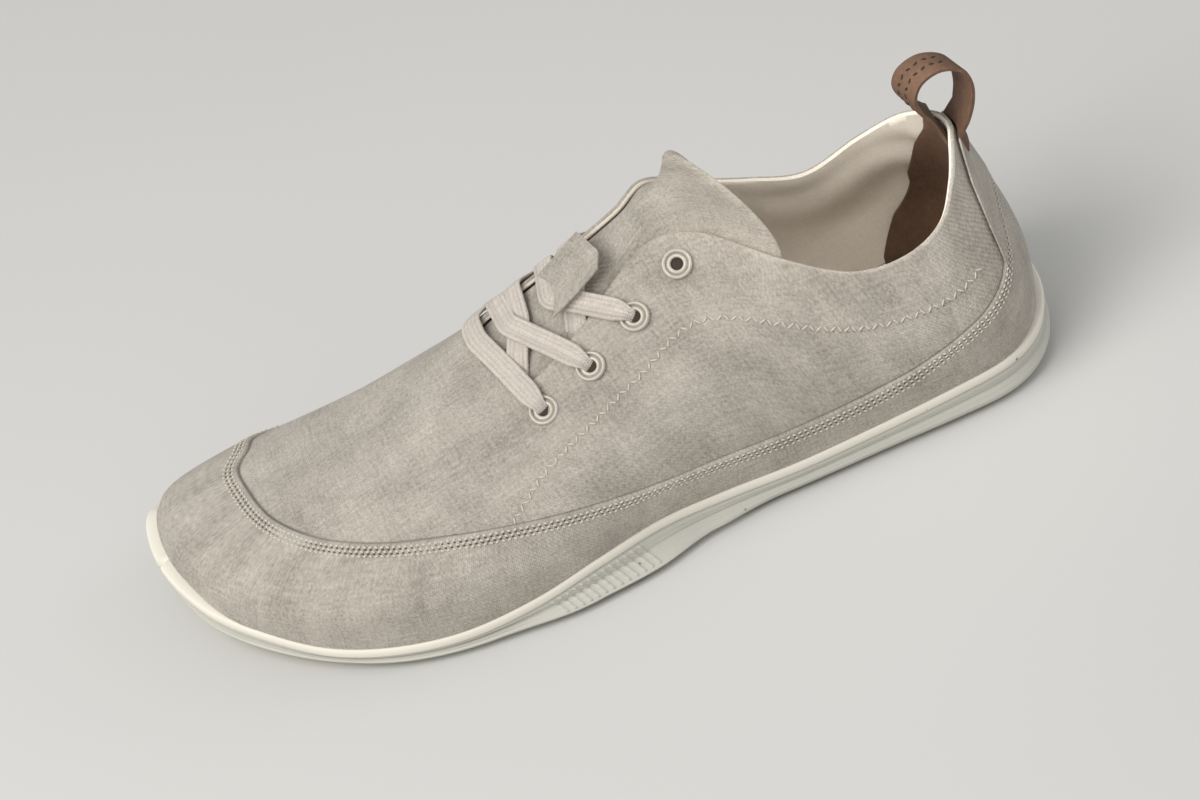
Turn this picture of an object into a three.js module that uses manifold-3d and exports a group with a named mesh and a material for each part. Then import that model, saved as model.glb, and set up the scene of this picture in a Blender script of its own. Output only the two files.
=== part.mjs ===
// Barefoot shoe for the left foot, laced, with the ends of its lace tucked in.
// Millimetres, +X to the toe, +Y to the outer side, +Z up, floor at zero.
import * as THREE from 'three';
import { mergeVertices } from 'three/addons/utils/BufferGeometryUtils.js';
import Module from 'manifold-3d';

// Driving sizes of the last.
const SOLE_LENGTH = 265;
const BALL_WIDTH = 102;
const COLLAR_HEIGHT = 78;
const TOE_SPRING = 8;
const HEEL_ROLL = 2.5;

// Middle of the heel's flat rest, the part's origin: share of the length and of the width.
const ORIGIN_ALONG = 0.19;
const ORIGIN_ACROSS = 0.01;

// Material thicknesses and clearances.
const WALL = 1.8;
const MUDGUARD_STEP = 0.8;
const GAP = 0.35;
const RIM_WIDTH = 3.6;
const FOOT_INSET = 1.1;
const WELT_STRIP = 3;
const WELT_LIP = 0.8;
const SIDE_GROOVE = 0.45;
const TREAD_DEPTH = 1.4;
const TREAD_EDGE = 2.6;
const SOLE_THICKNESS = 5.5;
const INSOLE_THICKNESS = 3;
const TONGUE_THICKNESS = 2.2;
const LEATHER_THICKNESS = 1.4;

// Laces and eyelets.
const LACE_WIDTH = 6.6;
const LACE_THICKNESS = 1.3;
const EYELET_OUTER = 4.3;
const EYELET_INNER = 2.1;
const EYELET_HEIGHT = 0.8;

// Loop over the heel.
const LOOP_WIDTH = 14;

// Mesh densities.
const RING_COLUMNS = 80;
const TONGUE_SECTIONS = 13;

// Stations once round the shoe, from the heel along the outer side to the toe and back.
// Shares: x of SOLE_LENGTH, y of BALL_WIDTH, z of COLLAR_HEIGHT.
// edge: top outer edge of the sole; full: widest line of the upper; open: crest line of the opening;
// lean: slope of the upper at the opening in degrees; seam: height of the mudguard's top edge;
// swell and ease: how far the upper keeps its direction at the widest line and at the opening;
// cut: distance below the crest line at which the throat is cut, as a share of BALL_WIDTH.
const STATION_COLUMNS = [
  'edgeX', 'edgeY', 'weltZ', 'fullX', 'fullY', 'fullZ',
  'openX', 'openY', 'openZ', 'lean', 'seamZ', 'swell', 'ease', 'cut',
];
const STATIONS = [
  [0, 0, 0.192, -0.008, 0, 0.346, 0.038, 0, 0.981, 78, 0.462, 0.3, 0.35, 0],
  [0.009, 0.137, 0.186, 0.002, 0.142, 0.346, 0.046, 0.083, 0.962, 78, 0.449, 0.3, 0.35, 0],
  [0.034, 0.25, 0.173, 0.03, 0.26, 0.333, 0.066, 0.176, 0.872, 78, 0.397, 0.3, 0.35, 0],
  [0.075, 0.319, 0.164, 0.075, 0.324, 0.321, 0.098, 0.245, 0.756, 78, 0.34, 0.3, 0.35, 0],
  [0.143, 0.353, 0.154, 0.143, 0.358, 0.308, 0.145, 0.277, 0.703, 77, 0.288, 0.3, 0.35, 0],
  [0.226, 0.377, 0.141, 0.226, 0.38, 0.308, 0.204, 0.282, 0.724, 74, 0.25, 0.3, 0.35, 0],
  [0.317, 0.402, 0.135, 0.317, 0.404, 0.321, 0.268, 0.245, 0.846, 62, 0.233, 0.28, 0.35, 0],
  [0.4, 0.422, 0.147, 0.396, 0.426, 0.333, 0.336, 0.152, 0.987, 45, 0.244, 0.26, 0.34, 0],
  [0.475, 0.461, 0.167, 0.472, 0.471, 0.321, 0.392, 0.08, 1.013, 36, 0.276, 0.25, 0.34, 0.039],
  [0.551, 0.52, 0.16, 0.547, 0.518, 0.295, 0.468, 0.075, 0.917, 33, 0.321, 0.24, 0.34, 0.142],
  [0.626, 0.559, 0.128, 0.623, 0.554, 0.256, 0.532, 0.073, 0.833, 30, 0.359, 0.23, 0.35, 0.196],
  [0.706, 0.564, 0.103, 0.702, 0.559, 0.231, 0.574, 0.063, 0.79, 27, 0.376, 0.21, 0.38, 0.152],
  [0.781, 0.525, 0.103, 0.777, 0.52, 0.218, 0.59, 0.047, 0.779, 24, 0.385, 0.2, 0.42, 0.08],
  [0.849, 0.441, 0.115, 0.845, 0.439, 0.212, 0.596, 0.033, 0.774, 22, 0.401, 0.19, 0.46, 0.059],
  [0.908, 0.324, 0.16, 0.904, 0.324, 0.218, 0.6, 0.024, 0.772, 22, 0.404, 0.16, 0.5, 0.044],
  [0.957, 0.181, 0.199, 0.945, 0.173, 0.236, 0.601, 0.016, 0.771, 23, 0.423, 0.148, 0.53, 0.039],
  [0.988, 0.01, 0.241, 0.971, 0.009, 0.264, 0.602, 0.009, 0.769, 23, 0.429, 0.126, 0.54, 0.039],
  [0.997, -0.152, 0.267, 0.978, -0.147, 0.288, 0.603, 0.002, 0.769, 23, 0.429, 0.11, 0.54, 0.039],
  [0.988, -0.275, 0.272, 0.968, -0.257, 0.294, 0.602, -0.005, 0.769, 24, 0.417, 0.102, 0.51, 0.035],
  [0.955, -0.335, 0.215, 0.943, -0.319, 0.247, 0.602, -0.012, 0.771, 25, 0.397, 0.13, 0.48, 0.029],
  [0.909, -0.348, 0.16, 0.908, -0.353, 0.218, 0.6, -0.02, 0.773, 26, 0.378, 0.14, 0.44, 0.025],
  [0.849, -0.358, 0.122, 0.849, -0.368, 0.205, 0.596, -0.028, 0.776, 28, 0.365, 0.15, 0.4, 0.02],
  [0.777, -0.382, 0.109, 0.777, -0.392, 0.205, 0.59, -0.035, 0.782, 32, 0.359, 0.17, 0.37, 0.015],
  [0.706, -0.402, 0.109, 0.706, -0.412, 0.218, 0.574, -0.041, 0.804, 37, 0.359, 0.2, 0.36, 0.01],
  [0.642, -0.363, 0.122, 0.634, -0.392, 0.256, 0.542, -0.045, 0.85, 42, 0.359, 0.23, 0.35, 0.005],
  [0.577, -0.245, 0.141, 0.566, -0.358, 0.295, 0.498, -0.047, 0.91, 45, 0.372, 0.26, 0.35, 0],
  [0.517, -0.127, 0.154, 0.498, -0.328, 0.333, 0.453, -0.049, 0.974, 48, 0.365, 0.28, 0.35, 0],
  [0.445, -0.039, 0.154, 0.43, -0.309, 0.372, 0.411, -0.054, 1.036, 50, 0.359, 0.3, 0.35, 0],
  [0.37, -0.049, 0.147, 0.362, -0.304, 0.385, 0.372, -0.093, 1.077, 55, 0.353, 0.3, 0.35, 0],
  [0.302, -0.157, 0.141, 0.294, -0.314, 0.372, 0.317, -0.186, 0.917, 62, 0.346, 0.3, 0.35, 0],
  [0.234, -0.245, 0.141, 0.23, -0.328, 0.346, 0.26, -0.243, 0.788, 70, 0.346, 0.3, 0.35, 0],
  [0.158, -0.324, 0.147, 0.158, -0.343, 0.333, 0.2, -0.26, 0.712, 76, 0.346, 0.3, 0.35, 0],
  [0.083, -0.338, 0.16, 0.083, -0.343, 0.333, 0.136, -0.235, 0.801, 78, 0.359, 0.3, 0.35, 0],
  [0.038, -0.294, 0.179, 0.034, -0.294, 0.333, 0.085, -0.17, 0.904, 78, 0.397, 0.3, 0.35, 0],
  [0.009, -0.167, 0.19, 0.004, -0.167, 0.346, 0.049, -0.083, 0.972, 78, 0.442, 0.3, 0.35, 0],
];
const STATION_COUNT = STATIONS.length;
const TOE_STATION = 17;

// Tread outline against the sole's edge: station, then outward offset.
const TREAD_FLARE = [
  [0, 0], [3, 0.5], [5, -0.3], [6.3, -0.4], [7.2, 1.2], [8.1, 4.6],
  [9, 2.4], [10.4, 0.2], [14, 0], [17, -1.5], [20, 0], [25, 0.8], [29, 0], [33, 0],
];

// Bare rim in front of the upper at the toe: station, then width beyond the rim's usual one.
const TOE_RIM = [[0, 0], [14.2, 0], [15.8, 2.7], [18.4, 2.7], [19.9, 0], [33, 0]];

// Round spline through the station table, one value for each column.
function catmullRom(a, b, c, d, t) {
  const slope = (c - a) / 2;
  const next = (d - b) / 2;
  const t2 = t * t;
  const t3 = t2 * t;
  const held = b * (2 * t3 - 3 * t2 + 1) + c * (3 * t2 - 2 * t3);
  return held + slope * (t3 - 2 * t2 + t) + next * (t3 - t2);
}

function station(turn) {
  const place = ((turn % STATION_COUNT) + STATION_COUNT) % STATION_COUNT;
  const first = Math.floor(place);
  const row = (k) => STATIONS[(first + k + STATION_COUNT) % STATION_COUNT];
  const values = {};
  STATION_COLUMNS.forEach((name, k) => {
    values[name] = catmullRom(row(-1)[k], row(0)[k], row(1)[k], row(2)[k], place - first);
  });
  return values;
}

// Value from a table of [station, value] rows, eased between the rows and closed on itself.
function fromTable(table, place) {
  const rows = [...table, [STATION_COUNT, table[0][1]]];
  const k = Math.max(1, rows.findIndex(([start]) => place <= start));
  const share = (place - rows[k - 1][0]) / (rows[k][0] - rows[k - 1][0]);
  const eased = share * share * (3 - 2 * share);
  return rows[k - 1][1] + (rows[k][1] - rows[k - 1][1]) * eased;
}

// Height of the sole's underside above the floor: rolled heel and toe spring.
function underside(x) {
  const toe = Math.max(0, (x / SOLE_LENGTH - 0.7) / 0.3);
  const heel = Math.max(0, 1 - x / (0.1 * SOLE_LENGTH));
  return TOE_SPRING * toe * toe + HEEL_ROLL * heel * heel;
}

// Point of the sole's top outer edge, moved outward in plan by a distance.
function edgePoint(turn, outward) {
  const plan = (at) => {
    const s = station(at);
    return new THREE.Vector2(s.edgeX * SOLE_LENGTH, s.edgeY * BALL_WIDTH);
  };
  const along = plan(turn + 0.05).sub(plan(turn - 0.05)).normalize();
  return plan(turn).add(new THREE.Vector2(along.y, -along.x).multiplyScalar(-outward));
}

function toeRim(turn) {
  return fromTable(TOE_RIM, turn);
}

function weltHeight(turn) {
  return station(turn).weltZ * COLLAR_HEIGHT;
}

// One column of the upper's outer skin: out from the welt to the widest line, then up to the opening.
const LOWER_SHARE = 0.22;

function skinColumn(turn) {
  const s = station(turn);
  const full = new THREE.Vector3(s.fullX * SOLE_LENGTH, s.fullY * BALL_WIDTH, s.fullZ * COLLAR_HEIGHT);
  const open = new THREE.Vector3(s.openX * SOLE_LENGTH, s.openY * BALL_WIDTH, s.openZ * COLLAR_HEIGHT);
  const foot = edgePoint(turn, -FOOT_INSET - toeRim(turn));
  const reach = Math.hypot(full.x - foot.x, full.y - foot.y);
  const lift = GAP + (1.2 * reach) / (reach + 8);
  const base = new THREE.Vector3(foot.x, foot.y, s.weltZ * COLLAR_HEIGHT + lift);
  const chord = full.distanceTo(open);
  const inward = new THREE.Vector3(open.x - full.x, open.y - full.y, 0).normalize();
  const lean = THREE.MathUtils.degToRad(s.lean);
  const arriving = inward.multiplyScalar(Math.cos(lean)).add(new THREE.Vector3(0, 0, Math.sin(lean)));
  const curve = new THREE.CubicBezierCurve3(
    full,
    full.clone().add(new THREE.Vector3(0, 0, chord * s.swell)),
    open.clone().addScaledVector(arriving, -chord * s.ease),
    open,
  );
  return { base, full, curve };
}

const columnCache = new Map();

function skinPoint(turn, share) {
  const key = Math.round(turn * 1e6);
  if (!columnCache.has(key)) columnCache.set(key, skinColumn(turn));
  const { base, full, curve } = columnCache.get(key);
  if (share >= LOWER_SHARE) return curve.getPoint((share - LOWER_SHARE) / (1 - LOWER_SHARE));
  const q = share / LOWER_SHARE;
  const out = 1 - (1 - q) ** 1.9;
  return new THREE.Vector3(
    base.x + (full.x - base.x) * out,
    base.y + (full.y - base.y) * out,
    base.z + (full.z - base.z) * q,
  );
}

// Outward normal of the upper's skin.
function skinNormal(turn, share) {
  const low = Math.max(0, share - 0.01);
  const high = Math.min(1, share + 0.01);
  const along = skinPoint(turn + 0.04, share).sub(skinPoint(turn - 0.04, share));
  const up = skinPoint(turn, high).sub(skinPoint(turn, low));
  return up.cross(along).normalize();
}

function offsetSkin(turn, share, outward) {
  return skinPoint(turn, share).addScaledVector(skinNormal(turn, share), outward);
}

// Share of a column at which it reaches a height.
function shareAtHeight(turn, height) {
  let low = 0;
  let high = 1;
  for (let k = 0; k < 24; k += 1) {
    const middle = (low + high) / 2;
    if (skinPoint(turn, middle).z < height) low = middle;
    else high = middle;
  }
  return (low + high) / 2;
}

// Share of a column at a distance below the opening.
function shareAtDepth(turn, depth) {
  let share = 1;
  let walked = 0;
  let last = skinPoint(turn, 1);
  while (walked < depth && share > 0.3) {
    share -= 0.01;
    const point = skinPoint(turn, share);
    walked += point.distanceTo(last);
    last = point;
  }
  return share;
}

// Solid from a grid of rows; closed rows run round, open rows get side walls.
function gridGeometry(rows, options) {
  const count = rows[0].length;
  const positions = rows.flat().flatMap((p) => [p.x, p.y, p.z]);
  const index = [];
  const quad = (a, b, c, d) => index.push(a, c, b, a, d, c);
  const lastColumn = options.roundColumns ? count : count - 1;
  const lastRow = options.roundRows ? rows.length : rows.length - 1;
  for (let r = 0; r < lastRow; r += 1) {
    const next = (r + 1) % rows.length;
    for (let c = 0; c < lastColumn; c += 1) {
      const side = (c + 1) % count;
      quad(r * count + c, r * count + side, next * count + side, next * count + c);
    }
  }
  if (options.ladders) {
    for (const [row, upward] of options.ladders) {
      for (let c = 0; c < count / 2; c += 1) {
        const a = row * count + c;
        const b = row * count + c + 1;
        const d = row * count + ((count - c) % count);
        const e = row * count + (count - c - 1);
        const faces = [[a, b, e], [a, e, d]];
        for (const face of faces) {
          if (new Set(face).size < 3) continue;
          index.push(...(upward ? [face[0], face[2], face[1]] : face));
        }
      }
    }
  }
  const geometry = new THREE.BufferGeometry();
  geometry.setAttribute('position', new THREE.Float32BufferAttribute(positions, 3));
  geometry.setIndex(index);
  return geometry;
}

// Sheet of given thickness below a grid of points, closed round its edges.
function sheetGeometry(points, thickness) {
  const rows = points.length;
  const columns = points[0].length;
  const lower = points.map((row, r) => row.map((p, c) => {
    const a = points[Math.min(r + 1, rows - 1)][c].clone().sub(points[Math.max(r - 1, 0)][c]);
    const b = row[Math.min(c + 1, columns - 1)].clone().sub(row[Math.max(c - 1, 0)]);
    return p.clone().addScaledVector(b.cross(a).normalize(), thickness);
  }));
  const belt = points.map((row, r) => [...row, ...[...lower[r]].reverse()]);
  const geometry = gridGeometry(belt, { roundColumns: true });
  const index = [...geometry.getIndex().array];
  const width = columns * 2;
  for (const [row, flip] of [[0, true], [rows - 1, false]]) {
    for (let c = 0; c < columns - 1; c += 1) {
      const a = row * width + c;
      const b = a + 1;
      const d = row * width + (width - 1 - c);
      const e = d - 1;
      if (flip) index.push(a, b, e, a, e, d);
      else index.push(a, e, b, a, d, e);
    }
  }
  geometry.setIndex(index);
  return geometry;
}

// Boolean work on closed meshes.
const wasm = await Module();
wasm.setup();

function toSolid(geometry) {
  const clean = geometry.clone();
  clean.deleteAttribute('normal');
  clean.deleteAttribute('uv');
  const merged = mergeVertices(clean, 1e-4);
  const solid = new wasm.Manifold(new wasm.Mesh({
    numProp: 3,
    vertProperties: new Float32Array(merged.getAttribute('position').array),
    triVerts: new Uint32Array(merged.getIndex().array),
  }));
  return solid;
}

function toGeometry(solid) {
  const mesh = solid.getMesh();
  const geometry = new THREE.BufferGeometry();
  geometry.setAttribute('position', new THREE.Float32BufferAttribute(mesh.vertProperties, 3));
  geometry.setIndex([...mesh.triVerts]);
  return geometry;
}

const TURNS = Array.from({ length: RING_COLUMNS }, (_, k) => (STATION_COUNT * k) / RING_COLUMNS);

// Sole: rings from the underside over the tread edge, up the wall, over the welt, down to the footbed.
function soleRing(outward, height) {
  return TURNS.map((turn) => {
    const flare = fromTable(TREAD_FLARE, turn);
    const plan = edgePoint(turn, outward(turn, flare));
    return new THREE.Vector3(plan.x, plan.y, height(turn, plan.x));
  });
}

function wallRing(share, outward) {
  return soleRing(
    (turn, flare) => flare * (1 - share) ** 2 + outward,
    (turn, x) => {
      const low = underside(x) + TREAD_EDGE;
      return low + (weltHeight(turn) - WELT_STRIP - low) * share;
    },
  );
}

function soleBody() {
  const rings = [
    soleRing((turn, flare) => flare - 2.4, (turn, x) => underside(x) + TREAD_DEPTH),
    soleRing((turn, flare) => flare - 0.5, (turn, x) => underside(x) + TREAD_DEPTH + 0.5),
    wallRing(0, 0),
    wallRing(0.34, -WELT_LIP * 0.4),
    wallRing(0.46, -SIDE_GROOVE - WELT_LIP),
    wallRing(0.66, -WELT_LIP * 0.5),
    wallRing(1, -WELT_LIP),
    soleRing(() => -0.1, (turn) => weltHeight(turn) - WELT_STRIP + 0.5),
    soleRing(() => 0, (turn) => weltHeight(turn) - 0.6),
    soleRing(() => -0.6, (turn) => weltHeight(turn)),
    soleRing((turn) => -RIM_WIDTH - toeRim(turn), (turn) => weltHeight(turn)),
    soleRing((turn) => -RIM_WIDTH - toeRim(turn), (turn, x) => underside(x) + SOLE_THICKNESS),
  ];
  return gridGeometry(rings, {
    roundColumns: true,
    ladders: [[0, false], [rings.length - 1, true]],
  });
}

// Tread pads: lengthwise reach as shares of the sole, sideways reach as shares of the tread's width
// from the inner edge to the outer edge, at the pad's rear end and front end.
const PAD_COLUMNS = ['rear', 'front', 'rearInner', 'rearOuter', 'frontInner', 'frontOuter'];
const PADS = [
  [0.022, 0.345, 0.06, 0.95, 0.1, 0.93],
  [0.362, 0.53, 0.62, 0.94, 0.66, 0.95],
  [0.375, 0.6, 0.2, 0.52, 0.34, 0.58],
  [0.55, 0.76, 0.66, 0.95, 0.47, 0.96],
  [0.6, 0.745, 0.06, 0.3, 0.05, 0.42],
  [0.775, 0.955, 0.47, 0.95, 0.5, 0.9],
  [0.76, 0.975, 0.05, 0.42, 0.08, 0.45],
];
const PAD_STEPS = 11;
const PAD_DRAFT = 0.9;

// Tread edge at a length, on the outer or the inner side.
function treadEdge(x, outerSide) {
  const from = outerSide ? 0 : TOE_STATION;
  const to = outerSide ? TOE_STATION : STATION_COUNT;
  let best = 0;
  let last = null;
  for (let turn = from; turn <= to; turn += 0.1) {
    const p = edgePoint(turn, fromTable(TREAD_FLARE, turn % STATION_COUNT) - 2.4);
    if (last && (last.x - x) * (p.x - x) <= 0) {
      best = last.y + ((p.y - last.y) * (x - last.x)) / (p.x - last.x || 1);
    }
    last = p;
  }
  return best;
}

function padBody(row) {
  const pad = Object.fromEntries(PAD_COLUMNS.map((name, k) => [name, row[k]]));
  const rings = [];
  for (let k = 0; k <= PAD_STEPS; k += 1) {
    const place = (1 - Math.cos((Math.PI * k) / PAD_STEPS)) / 2;
    const x = (pad.rear + (pad.front - pad.rear) * place) * SOLE_LENGTH;
    const inner = treadEdge(x, false);
    const width = treadEdge(x, true) - inner;
    const low = pad.rearInner + (pad.frontInner - pad.rearInner) * place;
    const high = pad.rearOuter + (pad.frontOuter - pad.rearOuter) * place;
    const round = Math.max(0.12, (1 - (2 * place - 1) ** 6) ** 0.5);
    const middle = inner + (width * (low + high)) / 2;
    const half = ((width * (high - low)) / 2) * round;
    const z = underside(x);
    const top = z + TREAD_DEPTH + 1;
    rings.push([
      new THREE.Vector3(x, middle + half, top),
      new THREE.Vector3(x, middle + half - PAD_DRAFT, z),
      new THREE.Vector3(x, middle - half + PAD_DRAFT, z),
      new THREE.Vector3(x, middle - half, top),
    ]);
  }
  const geometry = gridGeometry(rings, { roundColumns: true });
  const index = [...geometry.getIndex().array];
  const end = PAD_STEPS * 4;
  index.push(0, 1, 2, 0, 2, 3, end, end + 2, end + 1, end, end + 3, end + 2);
  geometry.setIndex(index);
  return geometry;
}

// Slanted ribs on the outer wall in front of the waist.
const RIB_COUNT = 9;
const RIB_FROM = 7.25;
const RIB_TO = 8.95;
const RIB_SLANT = 0.16;
const RIB_WIDTH = 1.1;
const RIB_STAND = 0.8;

function wallPoint(turn, share, outward) {
  const flare = fromTable(TREAD_FLARE, turn);
  const plan = edgePoint(turn, flare * (1 - share) ** 2 + outward);
  const low = underside(plan.x) + TREAD_EDGE;
  return new THREE.Vector3(plan.x, plan.y, low + (weltHeight(turn) - WELT_STRIP - low) * share);
}

function ribBody(turn) {
  const corners = [];
  for (const [share, lean] of [[0.12, -0.5], [0.5, 0], [0.86, 0.5]]) {
    const at = turn + RIB_SLANT * lean;
    const stand = RIB_STAND - WELT_LIP * share;
    const along = wallPoint(at + 0.05, share, 0).sub(wallPoint(at - 0.05, share, 0)).normalize();
    const ring = [[-1, stand], [1, stand], [1, -2.2], [-1, -2.2]];
    corners.push(ring.map(([side, outward]) => wallPoint(at, share, outward)
      .addScaledVector(along, (side * RIB_WIDTH) / 2)));
  }
  const geometry = gridGeometry(corners, { roundColumns: true });
  const index = [...geometry.getIndex().array];
  const end = (corners.length - 1) * 4;
  index.push(0, 1, 2, 0, 2, 3, end, end + 2, end + 1, end, end + 3, end + 2);
  geometry.setIndex(index);
  return geometry;
}

function facingOut(geometry) {
  const p = geometry.getAttribute('position');
  const index = [...geometry.getIndex().array];
  let volume = 0;
  const [a, b, c] = [new THREE.Vector3(), new THREE.Vector3(), new THREE.Vector3()];
  for (let k = 0; k < index.length; k += 3) {
    a.fromBufferAttribute(p, index[k]);
    b.fromBufferAttribute(p, index[k + 1]);
    c.fromBufferAttribute(p, index[k + 2]);
    volume += a.dot(b.cross(c));
  }
  if (volume < 0) geometry.setIndex(index.reverse());
  return geometry;
}

// Notches beside the toe bumper.
const NOTCH_TURNS = [16.35, 18.95];
const NOTCH_WIDTH = 2.2;
const NOTCH_DEPTH = 1.3;

function notchBody(turn) {
  const along = wallPoint(turn + 0.05, 0.5, 0).sub(wallPoint(turn - 0.05, 0.5, 0)).normalize();
  const rings = [-0.9, 1.9].map((share) => {
    const corner = (side, outward) => wallPoint(turn, share, outward)
      .addScaledVector(along, (side * NOTCH_WIDTH) / 2);
    return [corner(-1, 1), corner(1, 1), corner(0, -NOTCH_DEPTH)];
  });
  const geometry = gridGeometry(rings, { roundColumns: true });
  geometry.setIndex([...geometry.getIndex().array, 0, 1, 2, 3, 5, 4]);
  return geometry;
}

function soleWithTread() {
  let solid = toSolid(soleBody());
  for (const turn of NOTCH_TURNS) solid = solid.subtract(toSolid(facingOut(notchBody(turn))));
  for (const row of PADS) solid = solid.add(toSolid(facingOut(padBody(row))));
  for (let k = 0; k < RIB_COUNT; k += 1) {
    const turn = RIB_FROM + ((RIB_TO - RIB_FROM) * k) / (RIB_COUNT - 1);
    solid = solid.add(toSolid(facingOut(ribBody(turn))));
  }
  return toGeometry(solid);
}

// Upper: outer rows with the mudguard's thicker band, opening edge, inner rows.
const LOW_ROWS = 4;
const HIGH_ROWS = 8;
const INNER_ROWS = 8;

function upperBody() {
  const band = TURNS.map((turn) => shareAtHeight(turn, station(turn).seamZ * COLLAR_HEIGHT));
  const brim = TURNS.map((turn) => shareAtDepth(turn, station(turn).cut * BALL_WIDTH));
  const row = (share, outward) => TURNS.map(
    (turn, k) => offsetSkin(turn, share(band[k], brim[k]), outward),
  );
  const rows = [];
  for (let r = 0; r <= LOW_ROWS; r += 1) {
    rows.push(row((seam) => (seam * r) / LOW_ROWS, MUDGUARD_STEP));
  }
  for (let r = 0; r <= HIGH_ROWS; r += 1) {
    const part = r === 0 ? 0.015 : (r / HIGH_ROWS) ** 1.3;
    rows.push(row((seam, top) => seam + (top - seam) * part, 0));
  }
  for (let r = INNER_ROWS; r >= 0; r -= 1) {
    rows.push(row((seam, top) => (top * r) / INNER_ROWS, -WALL));
  }
  const foot = TURNS.map((turn) => weltHeight(turn) + GAP);
  for (const ring of rows) {
    const lowest = ring === rows[0] || ring === rows[rows.length - 1];
    ring.forEach((p, k) => {
      p.z = lowest ? foot[k] : Math.max(p.z, foot[k]);
    });
  }
  return gridGeometry(rows, { roundColumns: true, roundRows: true });
}

// Insole: flat bed inside the sole's rim.
function insoleBody() {
  const inset = RIM_WIDTH + GAP;
  const bed = (outward, lift) => soleRing(
    (turn) => outward - toeRim(turn),
    (turn, x) => underside(x) + SOLE_THICKNESS + lift,
  );
  const rings = [
    bed(-inset, GAP),
    bed(-inset, GAP + INSOLE_THICKNESS - 0.8),
    bed(-inset - 0.8, GAP + INSOLE_THICKNESS),
  ];
  return gridGeometry(rings, { roundColumns: true, ladders: [[0, false], [2, true]] });
}

// Tongue sections from under the vamp to the free end.
// outer and inner: stations on each side; tuck and rise: depths under the quarters of the side edge
// and of the line where the section leaves them;
// forward and up: crest against the middle of the throat.
const TONGUE_COLUMNS = ['outer', 'inner', 'tuck', 'rise', 'forward', 'up'];
const TONGUE = [
  [13.9, 20.1, 9, 7, 1, 0.2],
  [12.6, 21.4, 15, 3, 0, 0.2],
  [11.4, 22.7, 24, 0, 0, 0.3],
  [10.2, 24, 28, 0, 0, 0.5],
  [9, 25.65, 26, 0, 0, 0.8],
  [8.3, 26.9, 18, 0, 0, 1.6],
  [7.7, 28, 12, 0, 2, 5],
  [7.1, 28.6, 7, 0, 5.5, 12],
  [6.4, 29.2, 4, 0, 13, 25],
];

function tableSpline(table, columns, share) {
  const place = share * (table.length - 1);
  const first = Math.min(Math.floor(place), table.length - 2);
  const row = (k) => table[Math.min(Math.max(first + k, 0), table.length - 1)];
  const values = {};
  columns.forEach((name, k) => {
    values[name] = catmullRom(row(-1)[k], row(0)[k], row(1)[k], row(2)[k], place - first);
  });
  return values;
}

const TONGUE_CLEARANCE = WALL + 2 * GAP;

function tongueSection(share) {
  const s = tableSpline(TONGUE, TONGUE_COLUMNS, share);
  const depth = (part) => s.rise + (s.tuck - s.rise) * part;
  const tucked = (turn) => [1, 0.66, 0.33, 0].map(
    (part) => offsetSkin(turn, shareAtDepth(turn, depth(part)), -TONGUE_CLEARANCE),
  );
  const left = tucked(s.outer);
  const right = tucked(s.inner);
  const crest = left[3].clone().add(right[3]).multiplyScalar(0.5);
  crest.x += s.forward;
  crest.z += s.up;
  const bridge = (from, before) => {
    const handle = 0.4 * from.distanceTo(crest);
    const leaving = from.clone().sub(before).normalize();
    const side = new THREE.Vector3(from.x - crest.x, from.y - crest.y, 0).normalize();
    return new THREE.CubicBezierCurve3(
      from,
      from.clone().addScaledVector(leaving, handle),
      crest.clone().addScaledVector(side, handle),
      crest,
    );
  };
  const over = bridge(left[3], left[2]);
  const back = bridge(right[3], right[2]);
  return [
    ...left,
    over.getPoint(0.33), over.getPoint(0.66), crest, back.getPoint(0.66), back.getPoint(0.33),
    ...[...right].reverse(),
  ];
}

function tongueBody() {
  const sections = [];
  for (let k = 0; k <= TONGUE_SECTIONS; k += 1) sections.push(tongueSection(k / TONGUE_SECTIONS));
  return sheetGeometry(sections, TONGUE_THICKNESS);
}

// Leather piece: patch inside the heel, loop over the collar, end outside the heel.
const LOOP_PATH = [
  [0.0525, 1.0], [0.059, 1.035], [0.074, 1.075], [0.0845, 1.13], [0.076, 1.195], [0.053, 1.22],
  [0.029, 1.195], [0.0175, 1.14], [0.0205, 1.08], [0.03, 1.02],
];
const LOOP_END = 9;
const HEEL_STATION = 8.8;
const LOOP_STEPS = 16;
const PATCH_ROWS = 6;
const PATCH_FOOT = 0.1;
const PATCH_TOP = 0.985;
const PATCH_TOP_HALF = 0.62;
const PATCH_SPREAD = 1.85;

function leatherBody() {
  const across = [-1, -0.5, 0, 0.5, 1];
  const rows = [];
  for (let r = 0; r <= PATCH_ROWS; r += 1) {
    const share = PATCH_FOOT + (PATCH_TOP - PATCH_FOOT) * (r / PATCH_ROWS);
    const half = PATCH_TOP_HALF + PATCH_SPREAD * (1 - r / PATCH_ROWS) ** 1.3;
    rows.push(across.map((a) => offsetSkin(a * half, share, -WALL - GAP)));
  }
  const path = new THREE.CatmullRomCurve3(
    LOOP_PATH.map(([x, z]) => new THREE.Vector3(x * SOLE_LENGTH, 0, z * COLLAR_HEIGHT)),
  );
  for (let k = 0; k <= LOOP_STEPS; k += 1) {
    const p = path.getPoint(k / LOOP_STEPS);
    rows.push(across.map((a) => new THREE.Vector3(p.x, (a * LOOP_WIDTH) / 2, p.z)));
  }
  for (const depth of [0.12, 0.5, 1]) {
    const half = LOOP_WIDTH / 2 / HEEL_STATION;
    const share = shareAtDepth(0, depth * LOOP_END);
    rows.push(across.map((a) => offsetSkin(a * half, share, 2 * GAP)));
  }
  return facingOut(sheetGeometry(rows, LEATHER_THICKNESS));
}

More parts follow.
